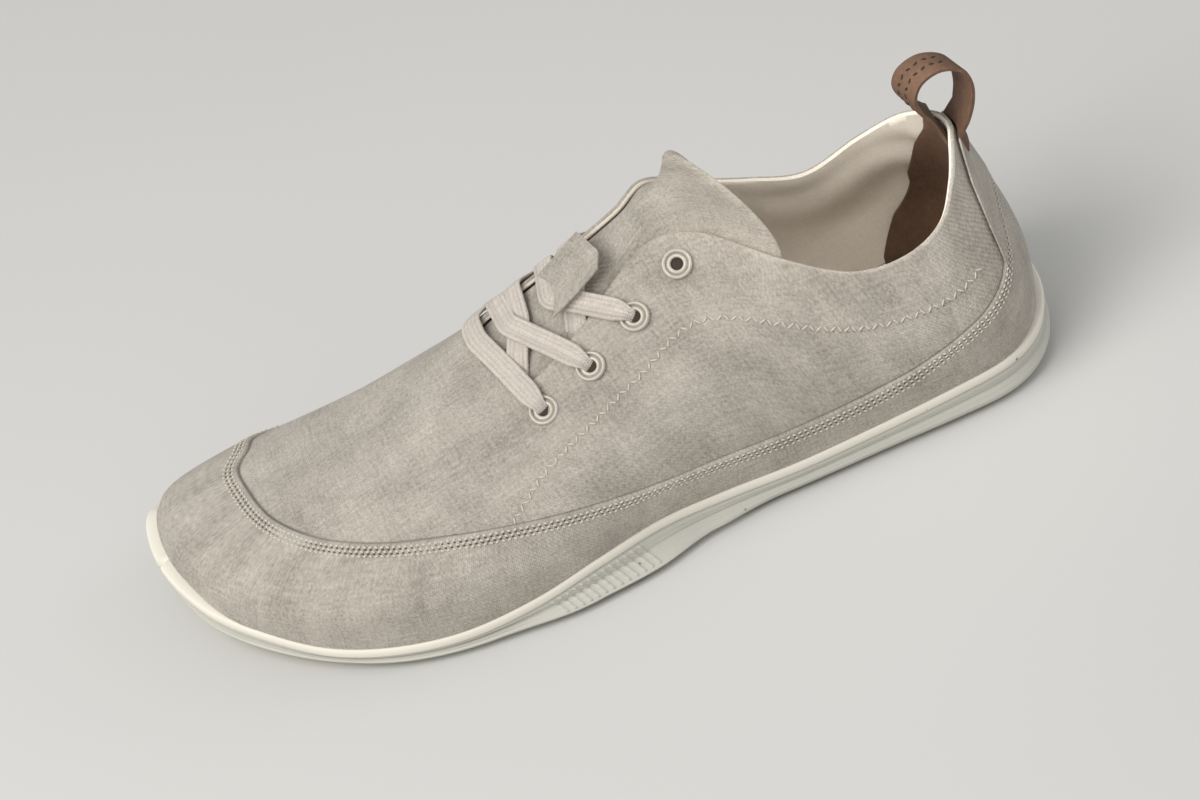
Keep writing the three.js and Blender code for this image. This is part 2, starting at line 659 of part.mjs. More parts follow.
// Eyelets: name, length on the sole, sideways place from the throat's middle line, side.
const EYELET_ROWS = [
  { along: 0.552, outer: 0.295, inner: 0.225 },
  { along: 0.491, outer: 0.262, inner: 0.22 },
  { along: 0.431, outer: 0.218, inner: 0.2 },
  { along: 0.371, outer: 0.165, inner: 0.185 },
];

// Station and share of the skin nearest to a place in plan.
function locate(x, y, from, to) {
  let best = { distance: Infinity };
  let centre = [(from + to) / 2, 0.75];
  let reach = [(to - from) / 2, 0.25];
  for (let pass = 0; pass < 5; pass += 1) {
    const [t0, s0] = centre;
    for (let i = -8; i <= 8; i += 1) {
      for (let j = -8; j <= 8; j += 1) {
        const turn = t0 + (reach[0] * i) / 8;
        const share = Math.min(1, s0 + (reach[1] * j) / 8);
        const p = skinPoint(turn, share);
        const distance = Math.hypot(p.x - x, p.y - y);
        if (distance < best.distance) best = { distance, turn, share };
      }
    }
    centre = [best.turn, best.share];
    reach = [reach[0] / 4, reach[1] / 4];
  }
  return best;
}

const THROAT_MIDDLE = 0.015;
const OUTER_QUARTER = { from: 6.5, to: 11.5 };
const INNER_QUARTER = { from: 23, to: 29.5 };
const eyelets = EYELET_ROWS.flatMap((row, k) => [
  { name: `eyelet_outer_${k + 1}`, x: row.along, y: THROAT_MIDDLE + row.outer, ...OUTER_QUARTER },
  { name: `eyelet_inner_${k + 1}`, x: row.along, y: THROAT_MIDDLE - row.inner, ...INNER_QUARTER },
]).map((e) => {
  const place = locate(e.x * SOLE_LENGTH, e.y * BALL_WIDTH, e.from, e.to);
  return { ...e, ...place };
});

const EYELET_SIDES = 10;
const TUBE_WALL = 0.5;

function placedOnSkin(geometry, eyelet) {
  const normal = skinNormal(eyelet.turn, eyelet.share);
  const turned = new THREE.Quaternion().setFromUnitVectors(new THREE.Vector3(0, 1, 0), normal);
  const point = skinPoint(eyelet.turn, eyelet.share);
  return geometry.applyQuaternion(turned).translate(point.x, point.y, point.z);
}

function eyeletBody(eyelet) {
  const tube = EYELET_INNER + TUBE_WALL;
  const profile = [
    [EYELET_INNER, -WALL], [tube, -WALL], [tube, GAP], [EYELET_OUTER, GAP],
    [EYELET_OUTER - 0.3, GAP + EYELET_HEIGHT], [EYELET_INNER, GAP + EYELET_HEIGHT],
    [EYELET_INNER, -WALL],
  ].map(([r, z]) => new THREE.Vector2(r, z));
  const ring = new THREE.LatheGeometry(profile, EYELET_SIDES);
  return facingOut(mergedShape(placedOnSkin(ring, eyelet)));
}

function mergedShape(geometry) {
  geometry.deleteAttribute('normal');
  geometry.deleteAttribute('uv');
  return mergeVertices(geometry, 1e-4);
}

function upperWithHoles() {
  let solid = toSolid(upperBody());
  for (const eyelet of eyelets) {
    const radius = EYELET_INNER + TUBE_WALL + GAP;
    const hole = new THREE.CylinderGeometry(radius, radius, 8, EYELET_SIDES);
    solid = solid.subtract(toSolid(placedOnSkin(mergedShape(hole), eyelet)));
  }
  return toGeometry(solid);
}

// Laces: flat strips from an eyelet over the throat to an eyelet on the other side.
// outer and inner: eyelet rows; outerEdge and innerEdge: stations where it crosses the crest lines.
// A strip without an outer eyelet comes out from under the quarter's edge onto the tongue.
const LACE_PASSES = [
  { outer: 1, inner: 1, outerEdge: 12.1, innerEdge: 21.9 },
  { outer: 2, inner: 1, outerEdge: 10.75, innerEdge: 23.1 },
  { outer: 0, inner: 2, outerEdge: 10.2, innerEdge: 24.1 },
  { outer: 3, inner: 2, outerEdge: 9.55, innerEdge: 25 },
  { outer: 0, inner: 3, outerEdge: 9.1, innerEdge: 25.6 },
];
const LACE_LIFT = GAP + 0.2;
const LACE_SINK = 1.2;
const LACE_TUCK = 1.5;
const OVER_EYELET = 2 * GAP + EYELET_HEIGHT;

// Rows of a strip next to its eyelet: distance walked, lift off the skin, share of the full width.
const LACE_START = [
  [0, -0.6, 0.42], [0.9, 1, 0.48], [2.3, OVER_EYELET, 0.7], [4.4, OVER_EYELET, 0.94],
  [6.6, LACE_LIFT + 0.2, 1],
];

function lacePath(pass) {
  const end = (side, row) => eyelets.find((e) => e.name === `eyelet_${side}_${row}`);
  const half = (eyelet, edge) => {
    const over = [];
    const start = skinPoint(eyelet.turn, eyelet.share);
    const finish = skinPoint(edge, 1);
    const length = start.distanceTo(finish);
    const far = [[length * 0.6, LACE_LIFT, 1], [length, LACE_LIFT, 1]];
    for (const [away, lift, width] of [...LACE_START, ...far]) {
      const plan = start.clone().lerp(finish, Math.min(1, away / length));
      const { turn, share } = away < length
        ? locate(plan.x, plan.y, eyelet.from, eyelet.to)
        : { turn: edge, share: 1 };
      over.push({
        point: offsetSkin(turn, share, lift),
        normal: skinNormal(turn, share),
        width: width * LACE_WIDTH,
      });
    }
    return over;
  };
  const tucked = (edge) => [1, 0.5, 0].map((part) => {
    const share = shareAtDepth(edge, part * (station(edge).cut * BALL_WIDTH - LACE_TUCK));
    return {
      point: offsetSkin(edge, share, LACE_LIFT - LACE_SINK * part),
      normal: skinNormal(edge, share),
      width: LACE_WIDTH,
    };
  });
  const left = pass.outer ? half(end('outer', pass.outer), pass.outerEdge) : tucked(pass.outerEdge);
  const right = half(end('inner', pass.inner), pass.innerEdge);
  return [...left, ...right.reverse()];
}

function laceStrip(pass) {
  const path = lacePath(pass);
  const rows = [];
  const last = path.length - 1;
  for (let k = 0; k <= last; k += 1) {
    const here = path[k];
    const next = path[Math.min(k + 1, last)].point;
    const before = path[Math.max(k - 1, 0)].point;
    const along = next.clone().sub(before).normalize();
    const across = along.clone().cross(here.normal).normalize();
    rows.push([-0.5, 0, 0.5].map((side) => here.point.clone()
      .addScaledVector(across, side * here.width)
      .addScaledVector(here.normal, LACE_THICKNESS)));
  }
  return facingOut(sheetGeometry(rows.map((row) => [...row].reverse()), -LACE_THICKNESS * 0.9));
}

function laceBody() {
  let solid = toSolid(laceStrip(LACE_PASSES[0]));
  for (const pass of LACE_PASSES.slice(1)) solid = solid.add(toSolid(laceStrip(pass)));
  return toGeometry(solid);
}

// Lace keeper: band of linen along the tongue over the upper laces.
// outer and depth: station and distance below the crest line of its near edge;
// inner and reach: station across the throat and share of the way there of its far edge.
const KEEPER_THICKNESS = 1.1;
const KEEPER_OFFSET = LACE_LIFT + LACE_THICKNESS + 2 * GAP + KEEPER_THICKNESS + 0.7;
const KEEPER_RISE = 1;
const KEEPER = [
  { outer: 9.45, depth: 6, inner: 24.2, reach: 0.56 },
  { outer: 9.18, depth: 4.5, inner: 24.75, reach: 0.66 },
  { outer: 8.92, depth: 3, inner: 25.3, reach: 0.76 },
  { outer: 8.65, depth: 1.3, inner: 25.85, reach: 0.85 },
];

function keeperBody() {
  const rows = KEEPER.map((row) => {
    const near = [1, 0.5, 0].map((part) => (
      offsetSkin(row.outer, shareAtDepth(row.outer, row.depth * part), KEEPER_OFFSET)));
    const far = offsetSkin(row.inner, 1, KEEPER_OFFSET);
    const over = [0.25, 0.5, 0.75, 1].map((part) => {
      const point = near[2].clone().lerp(far, part * row.reach);
      point.z += KEEPER_RISE * Math.sin(Math.PI * part * row.reach);
      return point;
    });
    return [...near, ...over];
  });
  return facingOut(sheetGeometry(rows.map((row) => [...row].reverse()), KEEPER_THICKNESS));
}

const root = new THREE.Group();
root.name = 'barefoot_shoe';

const MATERIALS = {
  rubber: new THREE.MeshStandardMaterial({ color: 0xe4ded2, roughness: 0.75, metalness: 0 }),
  linen: new THREE.MeshStandardMaterial({ color: 0xb2aaa0, roughness: 0.95, metalness: 0 }),
  lining: new THREE.MeshStandardMaterial({ color: 0xcdc3b4, roughness: 0.95, metalness: 0 }),
  leather: new THREE.MeshStandardMaterial({ color: 0x6e5041, roughness: 0.7, metalness: 0 }),
  lace: new THREE.MeshStandardMaterial({ color: 0xcdc3b9, roughness: 0.9, metalness: 0 }),
  metal: new THREE.MeshStandardMaterial({ color: 0xbdb7ad, roughness: 0.35, metalness: 0.8 }),
};

function addPart(name, geometry, material) {
  const mesh = new THREE.Mesh(geometry, material);
  mesh.name = name;
  geometry.translate(-ORIGIN_ALONG * SOLE_LENGTH, -ORIGIN_ACROSS * BALL_WIDTH, 0);
  geometry.computeVertexNormals();
  root.add(mesh);
}

addPart('outsole', soleWithTread(), MATERIALS.rubber);
addPart('upper', upperWithHoles(), MATERIALS.linen);
addPart('tongue', tongueBody(), MATERIALS.linen);
addPart('insole', insoleBody(), MATERIALS.lining);
addPart('pull_loop', leatherBody(), MATERIALS.leather);
addPart('lace', laceBody(), MATERIALS.lace);
addPart('lace_keeper', keeperBody(), MATERIALS.linen);
for (const eyelet of eyelets) addPart(eyelet.name, eyeletBody(eyelet), MATERIALS.metal);

export default root;
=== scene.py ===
import math

import bpy
import numpy as np
from mathutils import Matrix


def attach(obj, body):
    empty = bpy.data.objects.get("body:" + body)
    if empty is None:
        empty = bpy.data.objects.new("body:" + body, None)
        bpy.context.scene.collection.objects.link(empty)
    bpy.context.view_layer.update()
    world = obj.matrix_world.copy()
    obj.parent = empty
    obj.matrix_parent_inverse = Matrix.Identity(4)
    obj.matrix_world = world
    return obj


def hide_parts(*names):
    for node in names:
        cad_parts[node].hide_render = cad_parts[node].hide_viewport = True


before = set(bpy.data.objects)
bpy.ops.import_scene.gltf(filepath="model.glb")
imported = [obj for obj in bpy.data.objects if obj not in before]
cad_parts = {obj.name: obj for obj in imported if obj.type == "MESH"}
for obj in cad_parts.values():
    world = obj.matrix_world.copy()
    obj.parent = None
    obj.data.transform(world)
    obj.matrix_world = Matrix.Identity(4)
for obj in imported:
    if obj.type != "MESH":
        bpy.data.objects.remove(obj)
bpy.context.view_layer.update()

# Outsole: one moulded cup of off-white rubber. A pale welt strip runs round the upper, and the wall
# below it is hollowed. Its edge follows the last, which has one row of sizes for each station of the foot.
MM = 0.001
SOLE_LENGTH = 0.265
BALL_WIDTH = 0.102
COLLAR_HEIGHT = 0.078
TOE_SPRING = 8 * MM
HEEL_ROLL = 2.5 * MM
ORIGIN = np.array([0.19 * SOLE_LENGTH, 0.01 * BALL_WIDTH, 0])

# Shares of the sole's length, the ball's width and the collar's height, from the heel along the outer
# side to the toe and back: sole edge, widest line, crest line of the opening, lean in degrees, mudguard
# seam, roundness, and how far below the crest line the throat is cut.
LAST_COLUMNS = (
    "edge_x", "edge_y", "welt_z", "full_x", "full_y", "full_z",
    "open_x", "open_y", "open_z", "lean", "seam_z", "swell", "ease", "cut",
)
LAST = np.array([
    (0, 0, 0.192, 0.008, 0, 0.346, 0.047, 0, 0.935, 78, 0.7, 0.3, 0.35, 0),
    (0.009, 0.137, 0.186, 0.016, 0.14, 0.346, 0.054, 0.083, 0.922, 78, 0.655, 0.3, 0.35, 0),
    (0.034, 0.25, 0.173, 0.038, 0.252, 0.333, 0.07, 0.176, 0.857, 78, 0.5, 0.3, 0.35, 0),
    (0.075, 0.319, 0.164, 0.075, 0.324, 0.321, 0.098, 0.245, 0.756, 78, 0.41, 0.3, 0.35, 0),
    (0.143, 0.353, 0.154, 0.143, 0.358, 0.308, 0.145, 0.277, 0.703, 77, 0.335, 0.3, 0.35, 0),
    (0.226, 0.377, 0.141, 0.226, 0.38, 0.308, 0.204, 0.282, 0.724, 74, 0.29, 0.3, 0.35, 0),
    (0.317, 0.402, 0.135, 0.317, 0.404, 0.321, 0.268, 0.245, 0.846, 62, 0.28, 0.28, 0.35, 0),
    (0.4, 0.422, 0.147, 0.396, 0.426, 0.333, 0.336, 0.152, 0.987, 45, 0.295, 0.26, 0.34, 0),
    (0.475, 0.461, 0.167, 0.472, 0.471, 0.321, 0.392, 0.08, 1.013, 36, 0.33, 0.25, 0.34, 0.039),
    (0.551, 0.52, 0.16, 0.547, 0.518, 0.295, 0.468, 0.075, 0.917, 33, 0.375, 0.24, 0.34, 0.142),
    (0.626, 0.559, 0.128, 0.623, 0.554, 0.256, 0.532, 0.073, 0.833, 30, 0.408, 0.23, 0.35, 0.196),
    (0.706, 0.564, 0.103, 0.702, 0.559, 0.231, 0.574, 0.063, 0.79, 27, 0.426, 0.21, 0.38, 0.09),
    (0.781, 0.525, 0.103, 0.777, 0.52, 0.218, 0.59, 0.047, 0.779, 24, 0.437, 0.2, 0.42, 0.02),
    (0.849, 0.441, 0.115, 0.845, 0.439, 0.212, 0.596, 0.033, 0.774, 22, 0.444, 0.19, 0.46, 0.004),
    (0.908, 0.324, 0.16, 0.904, 0.324, 0.218, 0.6, 0.024, 0.772, 22, 0.446, 0.16, 0.5, 0.003),
    (0.957, 0.181, 0.199, 0.945, 0.173, 0.236, 0.601, 0.016, 0.771, 23, 0.45, 0.148, 0.53, 0.003),
    (0.988, 0.01, 0.241, 0.971, 0.009, 0.264, 0.602, 0.009, 0.769, 23, 0.458, 0.126, 0.54, 0.003),
    (0.997, -0.152, 0.267, 0.978, -0.147, 0.288, 0.603, 0.002, 0.769, 23, 0.462, 0.11, 0.54, 0.003),
    (0.988, -0.275, 0.272, 0.968, -0.257, 0.294, 0.602, -0.005, 0.769, 24, 0.468, 0.102, 0.51, 0.003),
    (0.955, -0.335, 0.215, 0.943, -0.319, 0.247, 0.602, -0.012, 0.771, 25, 0.445, 0.13, 0.48, 0.003),
    (0.909, -0.348, 0.16, 0.908, -0.353, 0.218, 0.6, -0.02, 0.773, 26, 0.415, 0.14, 0.44, 0.003),
    (0.849, -0.358, 0.122, 0.849, -0.368, 0.205, 0.596, -0.028, 0.776, 28, 0.39, 0.15, 0.4, 0.003),
    (0.777, -0.382, 0.109, 0.777, -0.392, 0.205, 0.59, -0.035, 0.782, 32, 0.372, 0.17, 0.37, 0.002),
    (0.706, -0.402, 0.109, 0.706, -0.412, 0.218, 0.574, -0.041, 0.804, 37, 0.359, 0.2, 0.36, 0.001),
    (0.642, -0.363, 0.122, 0.634, -0.392, 0.256, 0.542, -0.045, 0.85, 42, 0.359, 0.23, 0.35, 0),
    (0.577, -0.245, 0.141, 0.566, -0.358, 0.295, 0.498, -0.047, 0.91, 45, 0.372, 0.26, 0.35, 0),
    (0.517, -0.127, 0.154, 0.498, -0.328, 0.333, 0.453, -0.049, 0.974, 48, 0.365, 0.28, 0.35, 0),
    (0.445, -0.039, 0.154, 0.43, -0.309, 0.372, 0.411, -0.054, 1.036, 50, 0.359, 0.3, 0.35, 0),
    (0.37, -0.049, 0.147, 0.362, -0.304, 0.385, 0.372, -0.093, 1.077, 55, 0.353, 0.3, 0.35, 0),
    (0.302, -0.157, 0.141, 0.294, -0.314, 0.372, 0.317, -0.186, 0.917, 62, 0.346, 0.3, 0.35, 0),
    (0.234, -0.245, 0.141, 0.23, -0.328, 0.346, 0.26, -0.243, 0.788, 70, 0.346, 0.3, 0.35, 0),
    (0.158, -0.324, 0.147, 0.158, -0.343, 0.333, 0.2, -0.26, 0.712, 76, 0.36, 0.3, 0.35, 0),
    (0.083, -0.338, 0.16, 0.083, -0.343, 0.333, 0.136, -0.235, 0.801, 78, 0.41, 0.3, 0.35, 0),
    (0.038, -0.294, 0.179, 0.042, -0.288, 0.333, 0.087, -0.17, 0.892, 78, 0.5, 0.3, 0.35, 0),
    (0.009, -0.167, 0.19, 0.018, -0.165, 0.346, 0.056, -0.083, 0.928, 78, 0.655, 0.3, 0.35, 0),
])
TOE_STATION = 17
# Station, then width in millimetres.
TOE_RIM = [
    (0, 2.2), (1.5, 1.6), (3.2, 0), (14.2, 0), (15.8, 2.7), (18.4, 2.7), (19.9, 0),
    (32.2, 0), (33.6, 1.6), (35, 2.2),
]


def spline(rows, place, closed=False):
    """Smooth curve through rows of values, read at fractional row numbers."""
    rows = np.asarray(rows, float)
    place = np.asarray(place, float)
    first = np.floor(place).astype(int)
    if not closed:
        first = np.clip(first, 0, len(rows) - 2)
    t = (place - first)[..., None]

    def row(k):
        return rows[(first + k) % len(rows) if closed else np.clip(first + k, 0, len(rows) - 1)]

    rise = t * t * (3 - 2 * t)
    leaving = (row(1) - row(-1)) / 2 * t * (1 - t) ** 2
    arriving = (row(2) - row(0)) / 2 * t * t * (t - 1)
    return row(0) * (1 - rise) + row(1) * rise + leaving + arriving


def bow(t, start, leaving, arriving, end):
    """Curve from start to end, bent by two handles."""
    return ((1 - t) ** 3 * start + 3 * t * (1 - t) ** 2 * leaving
            + 3 * t * t * (1 - t) * arriving + t ** 3 * end)


def walked(places):
    """Length walked along places, from 0 at the first."""
    return np.concatenate([[0], np.cumsum(np.linalg.norm(np.diff(places, axis=0), axis=-1))])


def station(turn):
    """Sizes of the last at places round the shoe."""
    return dict(zip(LAST_COLUMNS, np.moveaxis(spline(LAST, turn, closed=True), -1, 0)))


def eased(table, place):
    """Value from a table of (place, value) rows, eased between the rows."""
    table = np.asarray(table, float)
    k = np.clip(np.searchsorted(table[:, 0], place, side="right") - 1, 0, len(table) - 2)
    share = np.clip((place - table[k, 0]) / (table[k + 1, 0] - table[k, 0]), 0, 1)
    return table[k, 1] + (table[k + 1, 1] - table[k, 1]) * share * share * (3 - 2 * share)


def underside(x):
    """Height of the sole's underside above the floor, with its toe spring and rolled heel."""
    toe = np.maximum(0, (x / SOLE_LENGTH - 0.7) / 0.3)
    heel = np.maximum(0, 1 - x / (0.1 * SOLE_LENGTH))
    return TOE_SPRING * toe ** 2 + HEEL_ROLL * heel ** 2


def toe_rim(turn):
    """Extra width of the bare rim at the toe and the heel."""
    return eased(TOE_RIM, np.mod(turn, len(LAST))) * MM


def edge_plan(turn):
    s = station(turn)
    return np.stack([s["edge_x"] * SOLE_LENGTH, s["edge_y"] * BALL_WIDTH], axis=-1)


def edge_point(turn, outward):
    """Place of the sole's edge in plan, moved outward."""
    turn = np.asarray(turn, float)
    along = edge_plan(turn + 0.05) - edge_plan(turn - 0.05)
    along /= np.linalg.norm(along, axis=-1, keepdims=True)
    outside = np.stack([-along[..., 1], along[..., 0]], axis=-1)
    return edge_plan(turn) + outside * np.asarray(outward)[..., None]


def grid_faces(rows, columns, round_columns=False, round_rows=False, first=0):
    """Quads between neighbouring rows and columns of a grid of vertices."""
    r = np.arange(rows if round_rows else rows - 1)[:, None]
    c = np.arange(columns if round_columns else columns - 1)[None, :]
    up = (r + 1) % rows
    side = (c + 1) % columns
    corners = [r * columns + c, r * columns + side, up * columns + side, up * columns + c]
    return (np.stack([np.broadcast_to(k, (len(r), c.shape[1])) for k in corners], -1) + first).reshape(-1, 4)


def ladder_faces(columns, first, flip=False):
    """Quads that close a ring of vertices, from side to side."""
    c = np.arange(columns // 2)
    quads = np.stack([c, c + 1, columns - c - 1, (columns - c) % columns], -1) + first
    return quads[:, ::-1] if flip else quads


def solid_object(name, points, faces, uv=None, sharp=None):
    """Closed mesh object with its faces turned outwards; uv has a place for each corner of each face."""
    points = np.asarray(points, float).reshape(-1, 3) - ORIGIN
    faces = np.asarray(faces)
    a, b, c, d = (points[faces[:, k]] for k in range(4))
    volume = (np.cross(b - a, c - a) * a).sum() + (np.cross(c - a, d - a) * a).sum()
    if volume < 0:
        faces = faces[:, ::-1]
        uv = None if uv is None else uv[:, ::-1]
    mesh = bpy.data.meshes.new(name)
    mesh.from_pydata(points.tolist(), [], [list(dict.fromkeys(face)) for face in faces.tolist()])
    if uv is not None:
        mesh.uv_layers.new(name="cloth").data.foreach_set("uv", uv.reshape(-1, 2).astype(np.float32).ravel())
    mesh.shade_smooth()
    if sharp:
        mesh.set_sharp_from_angle(angle=math.radians(sharp))
    piece = bpy.data.objects.new(name, mesh)
    bpy.context.scene.collection.objects.link(piece)
    return piece


def srgb(red, green, blue):
    """Colour as a screen shows it, for a material."""
    return tuple(((c / 255 + 0.055) / 1.055) ** 2.4 for c in (red, green, blue)) + (1,)


def add_attribute(piece, name, values):
    """One number on each vertex, which a material reads by its name."""
    values = np.broadcast_to(values, len(piece.data.vertices)).astype(np.float32)
    piece.data.attributes.new(name, "FLOAT", "POINT").data.foreach_set("value", values)


def new_material(name, roughness):
    """Material with its nodes, its shader and the function that links them."""
    material = bpy.data.materials.new(name)
    material.use_nodes = True
    nodes = material.node_tree.nodes
    shader = nodes["Principled BSDF"]
    shader.inputs["Roughness"].default_value = roughness
    shader.inputs["Specular IOR Level"].default_value = 0.3
    return material, nodes, shader, material.node_tree.links.new


def add_node(nodes, kind, values=None, **settings):
    """Shader node with its settings, and its inputs by name or number."""
    node = nodes.new(kind)
    for name, value in settings.items():
        setattr(node, name, value)
    for name, value in (values or {}).items():
        node.inputs[name].default_value = value
    return node


def wire(link, rows):
    """Links between nodes: from a node's output to another node's input."""
    for start, output, end, socket in rows:
        link(start.outputs[output], end.inputs[socket])


WELT_STRIP = 3 * MM
SIDE_GROOVE = 0.45 * MM
RIM_WIDTH = 3.6 * MM
TREAD_DEPTH = 1.4 * MM
TREAD_EDGE = 2.6 * MM
SOLE_THICKNESS = 5.5 * MM
TREAD_FLARE = [
    (0, 0), (3, 0.5), (5, -0.3), (6.3, -0.4), (7.3, 1.6), (8.3, 4.6), (9.2, 3.4), (10.6, 0.2),
    (14, 0), (17, -1.5), (20, 0), (25, 0.8), (29, 0), (33, 0), (35, 0),
]
# Wall between the tread and the welt: share of its height, then outward in millimetres.
WALL_PROFILE = [(0, 0), (0.1, 0.1), (0.34, -0.3), (0.46, -1.2), (0.6, -0.75), (0.8, -0.45), (1, -0.85)]
# Welt bead: outward and height from the welt's top in millimetres.
WELT_PROFILE = [
    (-0.75, -3), (-0.3, -2.9), (-0.02, -2.5), (0.08, -1.9), (0.1, -1.2), (0.02, -0.6),
    (-0.25, -0.2), (-0.6, 0), (-1.5, 0.05), (-2.6, 0.02), (-3.6, 0),
]
RIB_COUNT = 13
RIB_FROM = 8.35
RIB_TO = 9.75
RIB_SLANT = 0.2
RIB_WIDTH = 0.42 * MM
RIB_STAND = 0.8 * MM
NOTCH_TURNS = (16.35, 18.95)
NOTCH_WIDTH = 1.5 * MM
NOTCH_DEPTH = 1.7 * MM
NOTCH_DIP = 1.5 * MM
TOE_LINES = 3
# Station, then strength of the long lines.
BESIDE_TOE = [(9.5, 0), (11, 1), (15.6, 1), (16, 0), (19, 0), (19.6, 1), (22, 1), (23.5, 0)]
WALL_ROWS = 36

turns = np.unique(np.concatenate([
    np.arange(0, len(LAST), 0.06), np.arange(RIB_FROM - 0.2, RIB_TO + 0.2, 0.012),
    *[np.arange(notch - 0.2, notch + 0.2, 0.012) for notch in NOTCH_TURNS],
]).round(4))
flare = eased(TREAD_FLARE, turns) * MM
welt = station(turns)["welt_z"] * COLLAR_HEIGHT
stride = np.linalg.norm(edge_plan(turns + 0.5) - edge_plan(turns - 0.5), axis=-1)


def sole_ring(outward, height):
    """One ring of the sole: outward from the edge, height from the place along the sole."""
    plan = edge_point(turns, outward)
    return np.column_stack([plan, height(plan[:, 0])])


def wall_relief(share):
    """Slanted ribs before the waist and long lines beside the toe."""
    relief = np.zeros_like(turns)
    for k in range(RIB_COUNT):
        centre = RIB_FROM + (RIB_TO - RIB_FROM) * k / (RIB_COUNT - 1) + RIB_SLANT * (share - 0.5)
        relief += RIB_STAND * np.exp(-(((turns - centre) * stride) / RIB_WIDTH) ** 2)
    relief *= eased([(0.06, 0), (0.16, 1), (0.8, 1), (0.92, 0)], share)
    beside_toe = eased(BESIDE_TOE, turns)
    relief -= SIDE_GROOVE * beside_toe * (1 - math.cos(2 * math.pi * TOE_LINES * share)) / 2
    return relief


def notch_relief():
    cut = [np.maximum(0, 1 - np.abs(turns - notch) * stride / NOTCH_WIDTH) for notch in NOTCH_TURNS]
    return -NOTCH_DEPTH * sum(cut)


rings = [
    sole_ring(flare - 2.4 * MM, lambda x: underside(x) + TREAD_DEPTH),
    sole_ring(flare - 1.2 * MM, lambda x: underside(x) + TREAD_DEPTH + 0.15 * MM),
    sole_ring(flare - 0.4 * MM, lambda x: underside(x) + TREAD_DEPTH + 0.5 * MM),
]
for share in np.linspace(0, 1, WALL_ROWS):
    out = flare * (1 - share) ** 2 + eased(WALL_PROFILE, share) * MM + wall_relief(share) + notch_relief()
    rings.append(sole_ring(
        out, lambda x: (1 - share) * (underside(x) + TREAD_EDGE) + share * (welt - WELT_STRIP)))
for outward, height in WELT_PROFILE:
    cut = notch_relief() * (outward > -1)
    dip = notch_relief() * NOTCH_DIP / NOTCH_DEPTH * eased([(-2.6, 0), (-0.6, 1)], outward)
    inward = toe_rim(turns) * eased([(-3.6, 1), (-0.6, 0)], outward)
    rings.append(sole_ring(outward * MM + cut - inward, lambda x: welt + height * MM + dip))
for inward, lift in ((0.2 * MM, 0.8 * MM), (1.2 * MM, 0)):
    rings.append(sole_ring(
        -RIM_WIDTH - toe_rim(turns) - inward, lambda x: underside(x) + SOLE_THICKNESS + lift))
columns = len(turns)
wall_faces = np.concatenate([
    grid_faces(len(rings), columns, round_columns=True),
    ladder_faces(columns, 0, flip=True),
    ladder_faces(columns, (len(rings) - 1) * columns),
])
outsole = solid_object("outsole_cup", rings, wall_faces, sharp=50)
# Rings of the tread's rim and the wall below the welt, which the rubber paints a greyer, darker white: partly
# the rubber's own tone, partly painted shade of the hollowed wall.
below_welt = np.zeros((len(rings), columns))
below_welt[:WALL_ROWS + 3] = 1
add_attribute(outsole, "below_welt", below_welt.ravel())

# Tread: the cup's underside, with pads of close ridges that follow each pad's outline like contour lines,
# and smooth channels between them. The middle of the heel is left smooth.
RIDGE_PITCH = 2.7 * MM
RIDGE_DEPTH = 0.6 * MM
HEEL_RIDGES = 15 * MM
TREAD_ROWS = 470
TREAD_COLUMNS = 176
# Rear and front as shares of the sole, then inner and outer side at each end as shares of the width.
PADS = [
    (0.022, 0.345, 0.06, 0.95, 0.1, 0.93),
    (0.362, 0.53, 0.62, 0.94, 0.66, 0.95),
    (0.375, 0.6, 0.2, 0.52, 0.34, 0.58),
    (0.55, 0.76, 0.66, 0.95, 0.47, 0.96),
    (0.6, 0.745, 0.06, 0.3, 0.05, 0.42),
    (0.775, 0.955, 0.47, 0.95, 0.5, 0.9),
    (0.76, 0.975, 0.05, 0.42, 0.08, 0.45),
]


def tread_edges(x):
    """Inner and outer edge of the tread at places along the sole."""
    sides = []
    for start, end in ((len(LAST), TOE_STATION), (0, TOE_STATION)):
        walk = np.linspace(start, end, 900)
        rim = edge_point(walk, eased(TREAD_FLARE, walk) * MM - 0.9 * MM)
        order = np.argsort(rim[:, 0])
        sides.append(np.interp(x, rim[order, 0], rim[order, 1]))
    return sides


rim = edge_point(turns, flare - 0.9 * MM)
heel_end, toe_end = rim[:, 0].min() + 0.05 * MM, rim[:, 0].max() - 0.05 * MM
swing = np.linspace(0, 1, TREAD_ROWS)
swing = 0.82 * swing + 0.18 * (1 - np.cos(math.pi * swing)) / 2
x = heel_end + (toe_end - heel_end) * swing
inner_edge, outer_edge = tread_edges(x)
across = np.linspace(0, 1, TREAD_COLUMNS)
ground_x = np.repeat(x[:, None], TREAD_COLUMNS, axis=1)
ground_y = inner_edge[:, None] + (outer_edge - inner_edge)[:, None] * across


def pad_outline(pad):
    """Closed outline of a tread pad in plan."""
    rear, front, rear_inner, rear_outer, front_inner, front_outer = pad
    place = (1 - np.cos(np.linspace(0, math.pi, 60))) / 2
    along = (rear + (front - rear) * place) * SOLE_LENGTH
    inner, outer = tread_edges(along)
    low = rear_inner + (front_inner - rear_inner) * place
    high = rear_outer + (front_outer - rear_outer) * place
    fullness = np.maximum(0.12, (1 - np.abs(2 * place - 1) ** 5) ** 0.55)
    middle = inner + (outer - inner) * (low + high) / 2
    half = (outer - inner) * (high - low) / 2 * fullness
    return np.concatenate([
        np.column_stack([along, middle + half]), np.column_stack([along, middle - half])[::-1]])


